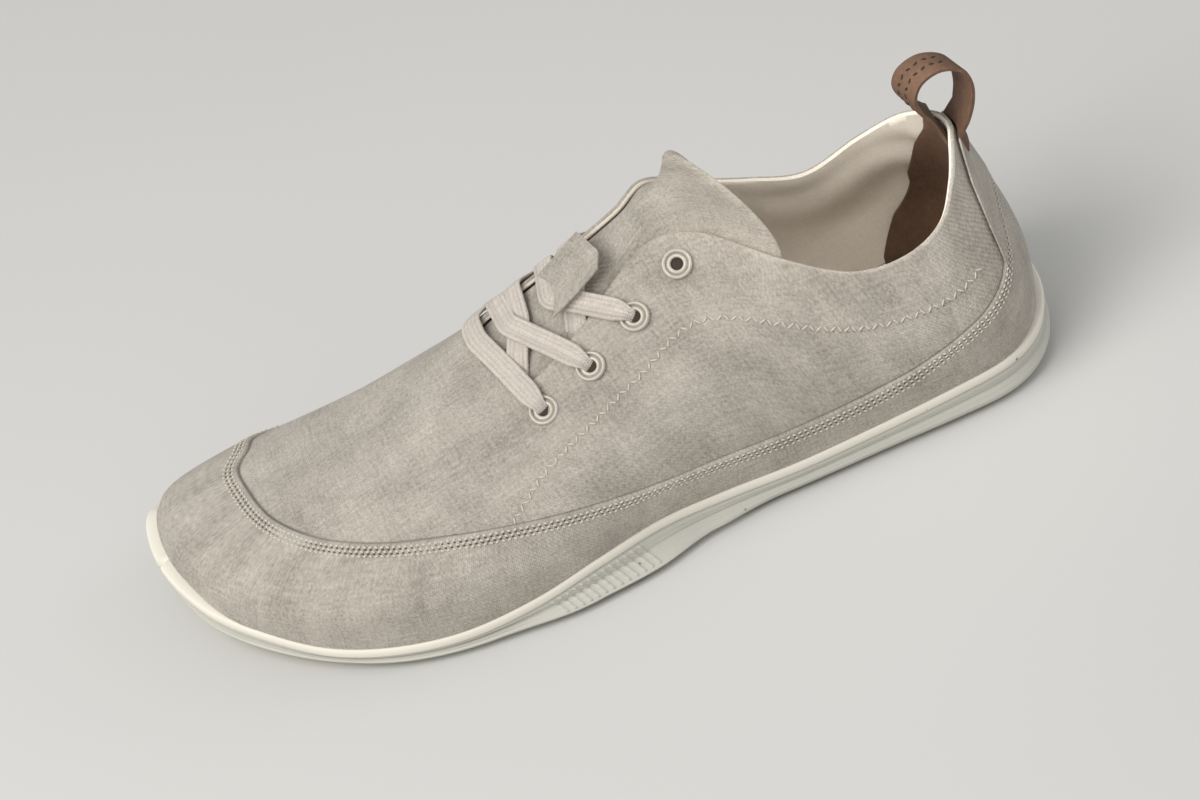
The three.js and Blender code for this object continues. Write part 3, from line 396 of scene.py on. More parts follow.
def depth_inside(outline, x, y):
    """Distance of places from an outline, positive inside it."""
    start = outline
    step = np.roll(outline, -1, axis=0) - outline
    distance = np.full(x.shape, 1.0)
    crossings = np.zeros(x.shape, bool)
    for (ax, ay), (dx, dy) in zip(start, step):
        along = np.clip(((x - ax) * dx + (y - ay) * dy) / max(dx * dx + dy * dy, 1e-12), 0, 1)
        distance = np.minimum(distance, np.hypot(x - ax - along * dx, y - ay - along * dy))
        if dy:
            crossings ^= ((ay > y) != (ay + dy > y)) & (x < ax + dx * (y - ay) / dy)
    return np.where(crossings, distance, -distance)


ground_z = underside(ground_x) + TREAD_DEPTH
for number, pad in enumerate(PADS):
    inside = depth_inside(pad_outline(pad), ground_x, ground_y)
    raised = np.clip(1 + inside / (0.9 * MM), 0, 1)
    raised = raised * raised * (3 - 2 * raised)
    valley = (1 - np.cos(2 * math.pi * np.maximum(inside, 0) / RIDGE_PITCH)) / 2
    if number == 0:
        valley *= eased([(HEEL_RIDGES - 3 * MM, 1), (HEEL_RIDGES, 0)], inside)
    height = underside(ground_x) + TREAD_DEPTH * (1 - raised) + RIDGE_DEPTH * valley * raised
    ground_z = np.minimum(ground_z, height)
border = np.minimum(across, 1 - across)[None, :] * (outer_edge - inner_edge)[:, None]
ground_z += 0.9 * MM * (1 - np.clip(border / (1.6 * MM), 0, 1)) ** 2
lid_z = underside(x) + TREAD_DEPTH + 1.6 * MM
sheet = np.stack([ground_x, ground_y, ground_z], -1)
lid = [np.column_stack([x, edge, lid_z])[:, None] for edge in (outer_edge, inner_edge)]
belt = np.concatenate([sheet, *lid], axis=1)
belt_columns = TREAD_COLUMNS + 2
ends = []
for row in (0, TREAD_ROWS - 1):
    k = np.arange(1, TREAD_COLUMNS - 1)
    fan = np.stack([k * 0 + belt_columns - 1, k * 0 + belt_columns - 1, k - 1, k], -1) + row * belt_columns
    rest = TREAD_COLUMNS + np.array([[-2, -1, 0, 1]]) + row * belt_columns
    ends += [fan if row == 0 else fan[:, ::-1], rest[:, ::-1] if row == 0 else rest]
tread_faces = np.concatenate([grid_faces(TREAD_ROWS, belt_columns, round_columns=True), *ends])
tread = solid_object("outsole_tread", belt, tread_faces, sharp=60)

rubber, nodes, shader, link = new_material("sole_rubber", 0.62)
place = add_node(nodes, "ShaderNodeTexCoord")
cloudy = add_node(nodes, "ShaderNodeTexNoise", {"Scale": 38, "Detail": 3})
specks = add_node(nodes, "ShaderNodeTexVoronoi", {"Scale": 210, "Randomness": 1}, feature="F1")
speck_size = add_node(
    nodes, "ShaderNodeMapRange", {"From Min": 0.05, "From Max": 0.13, "To Min": 1, "To Max": 0})
some = add_node(nodes, "ShaderNodeMath", {1: 0.82}, operation="GREATER_THAN")
spotted = add_node(nodes, "ShaderNodeMath", operation="MULTIPLY")
pick = add_node(nodes, "ShaderNodeSeparateColor")
# Painted shade: below the welt the white turns greyer and darker, partly the rubber's own greyer tone and
# partly painted shade of the hollowed wall.
wall_mask = add_node(nodes, "ShaderNodeAttribute", attribute_name="below_welt")
shade = add_node(nodes, "ShaderNodeMix", data_type="RGBA")
shade.inputs["A"].default_value = srgb(231, 226, 213)
shade.inputs["B"].default_value = srgb(196, 194, 184)
clouds = add_node(nodes, "ShaderNodeMix", {"Factor": 0.5}, data_type="RGBA", blend_type="MULTIPLY")
tint = add_node(nodes, "ShaderNodeMapRange", {"To Min": 0.86, "To Max": 1.06})
speckled = add_node(nodes, "ShaderNodeMix", data_type="RGBA")
speckled.inputs["B"].default_value = srgb(122, 112, 98)
fine = add_node(nodes, "ShaderNodeTexNoise", {"Scale": 900, "Detail": 2})
relief = add_node(nodes, "ShaderNodeBump", {"Strength": 0.25, "Distance": 0.0002})
wire(link, (
    (place, "Object", cloudy, "Vector"), (place, "Object", specks, "Vector"),
    (place, "Object", fine, "Vector"), (specks, "Distance", speck_size, "Value"),
    (specks, "Color", pick, "Color"), (pick, "Red", some, 0), (speck_size, "Result", spotted, 0),
    (some, "Value", spotted, 1), (wall_mask, "Fac", shade, "Factor"), (cloudy, "Fac", tint, "Value"),
    (shade, "Result", clouds, "A"), (tint, "Result", clouds, "B"), (clouds, "Result", speckled, "A"),
    (spotted, "Value", speckled, "Factor"), (speckled, "Result", shader, "Base Color"),
    (fine, "Fac", relief, "Height"), (relief, "Normal", shader, "Normal"),
))
for piece in (outsole, tread):
    piece.data.materials.append(rubber)
    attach(piece, "root")
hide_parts("outsole")

# Insole: a loose bed of foam under cream cotton, lying inside the cup's rim and a little dished.
INSOLE_THICKNESS = 3 * MM
GAP = 0.35 * MM
INSOLE_ROWS = 30

bed_edge = edge_point(turns[::4], -RIM_WIDTH - GAP - toe_rim(turns[::4]))
spine = np.column_stack([
    np.clip(bed_edge[:, 0], 0.16 * SOLE_LENGTH, 0.86 * SOLE_LENGTH), np.zeros(len(bed_edge))])
spine[:, 1] = np.interp(spine[:, 0] / SOLE_LENGTH, [0.16, 0.45, 0.7, 0.86], [0, 5 * MM, 6 * MM, 0])
rings = []
bed_rows = [(0, 0), (0, 0.5), (0.02, 0.85), (0.05, 1)] + [(k, 1) for k in np.linspace(0.1, 1, INSOLE_ROWS)]
for inward, lift in bed_rows:
    plan = bed_edge + (spine - bed_edge) * min(inward, 0.999)
    dish = 0.9 * MM * eased([(0, 0), (0.25, 0), (0.7, 1), (1, 1)], inward)
    bed_height = underside(plan[:, 0]) + SOLE_THICKNESS + GAP + lift * INSOLE_THICKNESS - dish
    rings.append(np.column_stack([plan, bed_height]))
columns = len(bed_edge)
insole = solid_object("insole_bed", rings, np.concatenate([
    grid_faces(len(rings), columns, round_columns=True),
    ladder_faces(columns, 0, flip=True),
    ladder_faces(columns, (len(rings) - 1) * columns),
]))


# Upper: greige linen over a cream cotton lining, one open shell. A wider strip of the same linen, the
# mudguard, goes round its foot and stands a step proud of the vamp and the quarters above it.
WALL = 1.8 * MM
FOOT_INSET = 1.1 * MM
MUDGUARD_STEP = 0.8 * MM
LOWER_SHARE = 0.22
UPPER_COLUMNS = 700
MUDGUARD_ROWS = 22
SKIN_ROWS = 56
LINING_ROWS = 30


def skin_point(turn, share):
    """Place on the upper's outer skin, from the welt at share 0 to the opening at share 1."""
    turn, share = np.broadcast_arrays(np.asarray(turn, float), np.asarray(share, float))
    s = station(turn)
    full, opening = (np.stack([
        s[end + "_x"] * SOLE_LENGTH, s[end + "_y"] * BALL_WIDTH, s[end + "_z"] * COLLAR_HEIGHT], -1)
        for end in ("full", "open"))
    foot = edge_point(turn, -FOOT_INSET - toe_rim(turn))
    reach = np.linalg.norm(full[..., :2] - foot, axis=-1)
    lift = GAP + 1.2 * MM * reach / (reach + 8 * MM)
    base = np.concatenate([foot, (s["welt_z"] * COLLAR_HEIGHT + lift)[..., None]], -1)
    chord = np.linalg.norm(full - opening, axis=-1, keepdims=True)
    inward = (opening - full) * (1, 1, 0)
    inward /= np.linalg.norm(inward, axis=-1, keepdims=True)
    lean = np.radians(s["lean"])[..., None]
    arriving = inward * np.cos(lean) + np.sin(lean) * np.array([0, 0, 1])
    rising = full + chord * s["swell"][..., None] * np.array([0, 0, 1])
    closing = opening - arriving * chord * s["ease"][..., None]
    t = np.clip((share - LOWER_SHARE) / (1 - LOWER_SHARE), 0, None)[..., None]
    above = bow(t, full, rising, closing, opening)
    q = np.clip(share / LOWER_SHARE, 0, 1)[..., None]
    out = (1 - (1 - q) ** 1.9) * np.array([1, 1, 0]) + q * np.array([0, 0, 1])
    return np.where(share[..., None] >= LOWER_SHARE, above, base + (full - base) * out)


def skin_normal(turn, share):
    share = np.asarray(share, float)
    along = skin_point(turn + 0.04, share) - skin_point(turn - 0.04, share)
    up = skin_point(turn, np.clip(share + 0.01, 0, 1)) - skin_point(turn, np.clip(share - 0.01, 0, 1))
    normal = np.cross(up, along)
    return normal / np.linalg.norm(normal, axis=-1, keepdims=True)


def offset_skin(turn, share, outward):
    turn = np.asarray(turn, float)
    return skin_point(turn, share) + skin_normal(turn, share) * np.asarray(outward)[..., None]


def share_at_height(turn, height):
    """Share of the skin at which it reaches a height."""
    low, high = np.zeros_like(turn), np.ones_like(turn)
    for _ in range(24):
        middle = (low + high) / 2
        below = skin_point(turn, middle)[..., 2] < height
        low, high = np.where(below, middle, low), np.where(below, high, middle)
    return (low + high) / 2


def share_at_depth(turn, depth):
    """Share of the skin at a distance below the crest line."""
    shares = np.linspace(1, 0.3, 71)
    return np.interp(depth, walked(skin_point(turn, shares)), shares)


def cut_share(turn):
    """Share of the skin at which the opening is cut."""
    return np.array([share_at_depth(t, c * BALL_WIDTH) for t, c in zip(turn, station(turn)["cut"])])


# Soft creases of the cloth: from (turn, share) to (turn, share), width and depth in millimetres.
CREASES = [
    (9.9, 0.8, 10.6, 0.42, 5, -0.9), (9.3, 0.75, 9.2, 0.45, 6, 0.7), (11.2, 0.8, 11.6, 0.5, 7, 0.5),
    (7.2, 0.85, 8.2, 0.5, 6, -0.6), (6.2, 0.8, 6.9, 0.45, 7, 0.6), (4.2, 0.8, 5.4, 0.5, 6, -0.5),
    (3.2, 0.9, 3.9, 0.5, 5, 0.4), (12.6, 0.75, 12.4, 0.5, 7, -0.6), (14.5, 0.8, 14.2, 0.55, 8, 0.5),
    (21, 0.8, 20.6, 0.5, 8, -0.6), (24.5, 0.8, 23.6, 0.5, 6, -0.8), (26.2, 0.8, 25.6, 0.45, 6, 0.7),
    (28.2, 0.8, 27.4, 0.5, 7, -0.7), (30, 0.8, 29.4, 0.5, 6, 0.6), (32, 0.8, 31.3, 0.5, 5, -0.5),
]


def crease_relief(points):
    """Depth of the creases at places on the skin."""
    relief = np.zeros(points.shape[:-1])
    for turn_a, share_a, turn_b, share_b, width, depth in CREASES:
        path = np.linspace(0, 1, 14)
        middle = skin_point(turn_a + (turn_b - turn_a) * path, share_a + (share_b - share_a) * path)
        fade = np.sin(math.pi * np.clip(path, 0.08, 0.92))
        nearest = np.zeros_like(relief)
        for place, strength in zip(middle, fade):
            distance = np.linalg.norm(points - place, axis=-1)
            nearest = np.maximum(nearest, strength * np.exp(-(distance / (width * MM)) ** 2))
        relief += depth * MM * nearest
    return relief


ring_turns = np.arange(UPPER_COLUMNS) * len(LAST) / UPPER_COLUMNS
seam = share_at_height(ring_turns, station(ring_turns)["seam_z"] * COLLAR_HEIGHT)
brim = cut_share(ring_turns)
column_places = [skin_point(ring_turns, s) for s in np.linspace(0, 1, 30)]
column_length = np.linalg.norm(np.diff(column_places, axis=0), axis=-1).sum(0)
# Rows: share of the way up, and how far the row stands outward in millimetres.
skin_rows = [(seam * k / MUDGUARD_ROWS, MUDGUARD_STEP) for k in range(MUDGUARD_ROWS + 1)]
for up, outward in ((0.25, 0.68), (0.45, 0.4), (0.55, 0.05), (0.7, -0.12), (0.95, -0.05), (1.2, 0)):
    skin_rows.append((seam + up * MM / column_length, outward * MM))
skin_rows += [(seam + (brim - seam) * (0.025 + 0.975 * (k / SKIN_ROWS) ** 1.1), 0) for k in range(SKIN_ROWS)]
hem = [(0, 0), (-0.25, 0.35), (-0.6, 0.52), (-1.0, 0.5), (-1.4, 0.35), (-1.7, 0.1)]
lining_rows = [(brim * k / LINING_ROWS, -WALL) for k in range(LINING_ROWS, -1, -1)]

rows = []
for share, outward in skin_rows:
    base = skin_point(ring_turns, share)
    soft = eased([(0, 0), (0.25, 0.3), (0.5, 1), (0.9, 1), (1, 0.35)], share)
    rows.append(base + skin_normal(ring_turns, share) * (outward + crease_relief(base) * soft)[..., None])
rim_normal = skin_normal(ring_turns, brim)
rim_up = skin_point(ring_turns, brim) - skin_point(ring_turns, brim - 0.02)
rim_up /= np.linalg.norm(rim_up, axis=-1, keepdims=True)
for outward, lift in hem:
    rows.append(skin_point(ring_turns, brim) + rim_normal * outward * MM + rim_up * lift * MM)
for share, outward in lining_rows:
    base = skin_point(ring_turns, share)
    soft = eased([(0, 0), (0.4, 0.6), (0.8, 1), (1, 0)], share)
    ripple = 0.8 * MM * np.sin(base[:, 2] / (3.2 * MM) + 1.8 * np.sin(ring_turns * 1.9)) * soft
    behind = eased([(0, 1), (4.5, 1), (6, 0), (29, 0), (31, 1), (35, 1)], ring_turns)
    stand = outward - ripple * behind - 0.1 * MM * behind
    rows.append(base + skin_normal(ring_turns, share) * stand[..., None])
welt_line = station(ring_turns)["welt_z"] * COLLAR_HEIGHT + GAP
rows = np.stack(rows)
rows[..., 2] = np.maximum(rows[..., 2], welt_line)
rows[0, :, 2] = welt_line
rows[-1, :, 2] = welt_line

# The cloth's own places: along the shoe and out from its crest, and on the mudguard round the foot and up.
toe_x = skin_point(TOE_STATION, np.linspace(1, 0.1, 60))
throat = station(np.linspace(6, 16.9, 60))
crest_x = np.concatenate([throat["open_x"] * SOLE_LENGTH, toe_x[1:, 0]])
crest_z = np.concatenate([throat["open_z"] * COLLAR_HEIGHT, toe_x[1:, 2]])
order = np.argsort(crest_x)


def cloth_place(points):
    rise = np.interp(points[..., 0], crest_x[order], crest_z[order]) - points[..., 2]
    girth = np.hypot(points[..., 1], rise) * np.where(points[..., 1] < 0, -1, 1)
    return np.stack([points[..., 0] + 0.35 * np.maximum(rise, 0), girth], -1)


closed = np.concatenate([rows, rows[:, :1]], axis=1)
cloth_uv = cloth_place(closed)
round_length = walked(edge_plan(ring_turns))
round_length = np.append(round_length, round_length[-1] + round_length[1])[:UPPER_COLUMNS + 1]
guard = MUDGUARD_ROWS + 5
cloth_uv[:guard, :, 0] = round_length
cloth_uv[:guard, :, 1] = closed[:guard, :, 2]
upper_faces = grid_faces(len(rows), UPPER_COLUMNS, round_columns=True, round_rows=True)
face_row, face_column = np.divmod(np.arange(len(upper_faces)), UPPER_COLUMNS)
corner_row = np.stack([face_row, face_row, (face_row + 1) % len(rows), (face_row + 1) % len(rows)], -1)
corner_column = np.stack([face_column, face_column + 1, face_column + 1, face_column], -1)
heel_uv = np.stack(np.broadcast_arrays(round_length, walked(closed[:, 0])[:, None]), -1)
at_heel = (face_column < 3.6 / len(LAST) * UPPER_COLUMNS) | (face_column > 31.6 / len(LAST) * UPPER_COLUMNS)
corner_uv = np.where(
    at_heel[:, None, None], heel_uv[corner_row, corner_column], cloth_uv[corner_row, corner_column])
upper = solid_object("upper_shell", rows, upper_faces, uv=corner_uv, sharp=65)
lining_from = len(skin_rows) + 3
lined = (face_row >= lining_from).astype(np.int32)
# Painted shade: a dark band on the step just above the mudguard's top edge, full at the heel, nine tenths at
# the toe and a quarter along the sides.
shadow = np.zeros((len(rows), UPPER_COLUMNS))
near_ends = eased([
    (0, 1), (4, 1), (6, 0.25), (13.2, 0.25), (14.6, 0.9),
    (20.5, 0.9), (22, 0.25), (29, 0.25), (31, 1), (35, 1),
], ring_turns)
shadow[MUDGUARD_ROWS + 2:MUDGUARD_ROWS + 7] = np.array([0.3, 0.8, 1, 0.6, 0.15])[:, None] * near_ends
add_attribute(upper, "seam_shadow", shadow.ravel())


def weave_group():
    """Plain weave: threads over and under each other, uneven thread tone, slubs, and soft cloudy wear."""
    group = bpy.data.node_groups.new("plain_weave", "ShaderNodeTree")
    face = group.interface
    for name, kind, value in (
        ("Place", "NodeSocketVector", None), ("Thread", "NodeSocketFloat", 0.0007),
        ("Slub", "NodeSocketFloat", 0.5), ("Cloud", "NodeSocketFloat", 0.5),
    ):
        socket = face.new_socket(name, in_out="INPUT", socket_type=kind)
        if value is not None:
            socket.default_value = value
    face.new_socket("Tone", in_out="OUTPUT", socket_type="NodeSocketFloat")
    face.new_socket("Height", in_out="OUTPUT", socket_type="NodeSocketFloat")
    nodes, link = group.nodes, group.links.new
    inside, outside = nodes.new("NodeGroupInput"), nodes.new("NodeGroupOutput")

    def math_node(operation, *inputs):
        node = add_node(nodes, "ShaderNodeMath", operation=operation)
        for k, value in enumerate(inputs):
            if isinstance(value, bpy.types.NodeSocket):
                link(value, node.inputs[k])
            else:
                node.inputs[k].default_value = value
        return node.outputs[0]

    def noise(vector, scale, stretch, detail=2.0):
        sized = add_node(nodes, "ShaderNodeVectorMath", operation="MULTIPLY")
        link(vector, sized.inputs[0])
        sized.inputs[1].default_value = stretch
        texture = add_node(nodes, "ShaderNodeTexNoise", {"Scale": scale, "Detail": detail})
        link(sized.outputs[0], texture.inputs["Vector"])
        return texture.outputs["Fac"]

    wobble = add_node(nodes, "ShaderNodeTexNoise", {"Scale": 120, "Detail": 1})
    link(inside.outputs["Place"], wobble.inputs["Vector"])
    bend = add_node(nodes, "ShaderNodeVectorMath", operation="MULTIPLY_ADD")
    link(wobble.outputs["Color"], bend.inputs[0])
    bend.inputs[1].default_value = (0.0012, 0.0012, 0)
    link(inside.outputs["Place"], bend.inputs[2])
    counted = add_node(nodes, "ShaderNodeVectorMath", operation="DIVIDE")
    link(bend.outputs[0], counted.inputs[0])
    thread = add_node(nodes, "ShaderNodeCombineXYZ")
    for k in range(3):
        link(inside.outputs["Thread"], thread.inputs[k])
    link(thread.outputs[0], counted.inputs[1])
    split = add_node(nodes, "ShaderNodeSeparateXYZ")
    link(counted.outputs[0], split.inputs[0])
    along, over = split.outputs["X"], split.outputs["Y"]
    warp = math_node("ABSOLUTE", math_node("SINE", math_node("MULTIPLY", along, math.pi)))
    weft = math_node("ABSOLUTE", math_node("SINE", math_node("MULTIPLY", over, math.pi)))
    square = math_node("ADD", math_node("FLOOR", along), math_node("FLOOR", over))
    top = math_node("MODULO", math_node("ABSOLUTE", square), 2.0)
    height = math_node("ADD", math_node("MULTIPLY", warp, top),
                       math_node("MULTIPLY", weft, math_node("SUBTRACT", 1.0, top)))
    warp_tone = noise(counted.outputs[0], 0.8, (1.0, 0.12, 0))
    weft_tone = noise(counted.outputs[0], 0.8, (0.12, 1.0, 0))
    mixed = math_node("ADD", math_node("MULTIPLY", warp_tone, top),
                      math_node("MULTIPLY", weft_tone, math_node("SUBTRACT", 1.0, top)))
    streak = math_node("ADD", math_node("POWER", noise(counted.outputs[0], 0.5, (1.0, 0.08, 0)), 3.0),
                       math_node("POWER", noise(counted.outputs[0], 0.45, (0.1, 1.0, 0)), 3.0))
    cloud = noise(inside.outputs["Place"], 70, (1, 1, 1), 5.0)
    fleck = noise(inside.outputs["Place"], 1100, (1, 1, 1), 2.0)
    yarn = math_node("ADD", math_node("SUBTRACT", mixed, 0.5), math_node("SUBTRACT", fleck, 0.5))
    tone = math_node("ADD", math_node("MULTIPLY", yarn, 0.8),
                     math_node("MULTIPLY", math_node("SUBTRACT", streak, 0.25), inside.outputs["Slub"]))
    wear = math_node("MULTIPLY", math_node("SUBTRACT", cloud, 0.5), inside.outputs["Cloud"])
    tone = math_node("ADD", tone, wear)
    link(math_node("ADD", tone, 0.5), outside.inputs["Tone"])
    link(math_node("ADD", height, math_node("MULTIPLY", mixed, 0.8)), outside.inputs["Height"])
    return group


weave = weave_group()


def woven_material(name, dark, light, thread, slub, cloud, depth, place="uv"):
    """Cloth from a darker and a lighter yarn, on the piece's own cloth map or on object places."""
    material, nodes, shader, link = new_material(name, 0.92)
    shader.inputs["Sheen Weight"].default_value = 0.15
    shader.inputs["Sheen Roughness"].default_value = 0.5
    if place == "uv":
        source = add_node(nodes, "ShaderNodeUVMap", uv_map="cloth").outputs["UV"]
    else:
        source = add_node(nodes, "ShaderNodeTexCoord").outputs["Object"]
    cloth = add_node(nodes, "ShaderNodeGroup", node_tree=weave)
    for socket, value in (("Thread", thread), ("Slub", slub), ("Cloud", cloud)):
        cloth.inputs[socket].default_value = value
    link(source, cloth.inputs["Place"])
    colour = add_node(nodes, "ShaderNodeMix", data_type="RGBA")
    colour.inputs["A"].default_value = dark
    colour.inputs["B"].default_value = light
    # Painted shade: the seam_shadow number on each vertex darkens the cloth's colour, down to 0.4 of it where
    # the number is 1.
    dusk = add_node(nodes, "ShaderNodeAttribute", attribute_name="seam_shadow")
    deep = add_node(nodes, "ShaderNodeMapRange", {"To Min": 1.0, "To Max": 0.4})
    shaded = add_node(nodes, "ShaderNodeMix", {"Factor": 1}, data_type="RGBA", blend_type="MULTIPLY")
    wire(link, (
        (cloth, "Tone", colour, "Factor"), (dusk, "Fac", deep, "Value"), (colour, "Result", shaded, "A"),
        (deep, "Result", shaded, "B"), (shaded, "Result", shader, "Base Color"),
    ))
    relief = add_node(nodes, "ShaderNodeBump", {"Strength": 1, "Distance": depth})
    link(cloth.outputs["Height"], relief.inputs["Height"])
    link(relief.outputs["Normal"], shader.inputs["Normal"])
    return material


linen = woven_material("upper_linen", srgb(129, 121, 111), srgb(206, 198, 186), 0.6 * MM, 0.3, 0.85, 0.00008)
cotton = woven_material(
    "lining_cotton", srgb(236, 223, 205), srgb(252, 245, 232), 0.45 * MM, 0.3, 0.5, 0.00006)
bed_cloth = woven_material(
    "insole_cloth", srgb(188, 177, 160), srgb(216, 207, 192), 0.5 * MM, 0.3, 0.5, 0.00006, place="object")
insole.data.materials.append(bed_cloth)
upper.data.materials.append(linen)
upper.data.materials.append(cotton)
upper.data.polygons.foreach_set("material_index", lined)
for piece, slot in ((insole, "insole_cloth"), (upper, "upper_linen")):
    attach(piece, "root")
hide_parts("insole")
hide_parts("upper")


def sheet_object(name, points, thickness, uv=None, round_edge=0.0):
    """Closed sheet below a grid of points, with the cloth map on both faces."""
    points = np.asarray(points, float)
    r, c = points.shape[:2]
    along = np.gradient(points, axis=0)
    side = np.gradient(points, axis=1)
    down = np.cross(side, along)
    down /= np.linalg.norm(down, axis=-1, keepdims=True)
    middle = points + down * thickness / 2
    from_side = np.minimum(np.arange(c), np.arange(c)[::-1])
    from_end = np.minimum(np.arange(r), np.arange(r)[::-1])
    border = np.minimum(from_side[None, :], from_end[:, None])
    plump = np.where(border == 0, 1 - round_edge, np.where(border == 1, 1 - round_edge * 0.35, 1))[..., None]
    upper_face, lower_face = middle - down * thickness / 2 * plump, middle + down * thickness / 2 * plump
    belt = np.concatenate([upper_face, lower_face[:, ::-1]], axis=1)
    width = 2 * c
    faces = [grid_faces(r, width, round_columns=True)]
    for row in (0, r - 1):
        k = np.arange(c - 1)
        quads = np.stack([k, k + 1, width - 2 - k, width - 1 - k], -1) + row * width
        faces.append(quads[:, ::-1] if row == 0 else quads)
    faces = np.concatenate(faces)
    if uv is None:
        length = np.cumsum(np.linalg.norm(along, axis=-1), axis=0)
        breadth = np.cumsum(np.linalg.norm(side, axis=-1), axis=1)
        uv = np.stack([length, breadth], -1)
    flat = np.concatenate([uv, uv[:, ::-1]], axis=1).reshape(-1, 2)
    return solid_object(name, belt, faces, uv=flat[faces], sharp=60)


# Tongue: a wide piece of the same linen sewn in under the vamp, its sides tucked under the quarters.
TONGUE_THICKNESS = 2.2 * MM
TONGUE_ROWS = 90
TONGUE_SIDE = 9
# Station on each side, depth in millimetres of the edge and of where it leaves the quarter, crest offset.
TONGUE = [
    (13.9, 20.1, 9, 7, 1, 0.2), (12.6, 21.4, 15, 3, 0, 0.2), (11.4, 22.7, 24, 0, 0, 0.3),
    (10.2, 24, 28, 0, 0, 0.5), (9, 25.65, 26, 0, 0, 0.8), (8.3, 26.9, 18, 0, 0, 1.6),
    (7.6, 28, 12, 0, 2.7, 5), (6.85, 28.6, 7, 0, 7.5, 14.2), (6, 29.2, 4, 0, 16.2, 31),
]
TONGUE_CLEARANCE = WALL + 2 * GAP
TONGUE_LIFT = 1.7 * MM


def bridge(start, before, crest, steps, fullness):
    """Bow from a tucked edge up to the crest line."""
    handle = fullness * np.linalg.norm(start - crest)
    leaving = (start - before) / np.linalg.norm(start - before)
    side = (start - crest) * (1, 1, 0)
    side /= np.linalg.norm(side)
    t = np.linspace(0, 1, steps)[:, None]
    return bow(t, start, start + leaving * handle, crest + side * handle, crest)


def tongue_section(share):
    outer, inner, tuck, rise, forward, up = spline(TONGUE, share * (len(TONGUE) - 1))
    sides = []
    for turn in (outer, inner):
        covered = station(turn)["cut"] * BALL_WIDTH
        side = []
        for depth in np.linspace(tuck, rise, TONGUE_SIDE) * MM:
            lift = TONGUE_LIFT * eased([(0, 0), (0.004, 1)], covered - depth)
            side.append(offset_skin(turn, share_at_depth(turn, depth), lift - TONGUE_CLEARANCE))
        sides.append(np.array(side))
    crest = (sides[0][-1] + sides[1][-1]) / 2 + np.array([forward, 0, up]) * MM
    fullness = eased([(0.7, 0.4), (1, 0.2)], share)
    left, right = (bridge(side[-1], side[-2], crest, 14, fullness) for side in sides)
    return np.concatenate([sides[0], left[1:], right[-2:0:-1], sides[1][::-1]])


tongue_grid = np.array([tongue_section(k / (TONGUE_ROWS - 1)) for k in range(TONGUE_ROWS)])
tongue = sheet_object("tongue_linen", tongue_grid, TONGUE_THICKNESS, round_edge=0.55)
tongue.data.materials.append(linen)
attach(tongue, "root")
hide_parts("tongue")
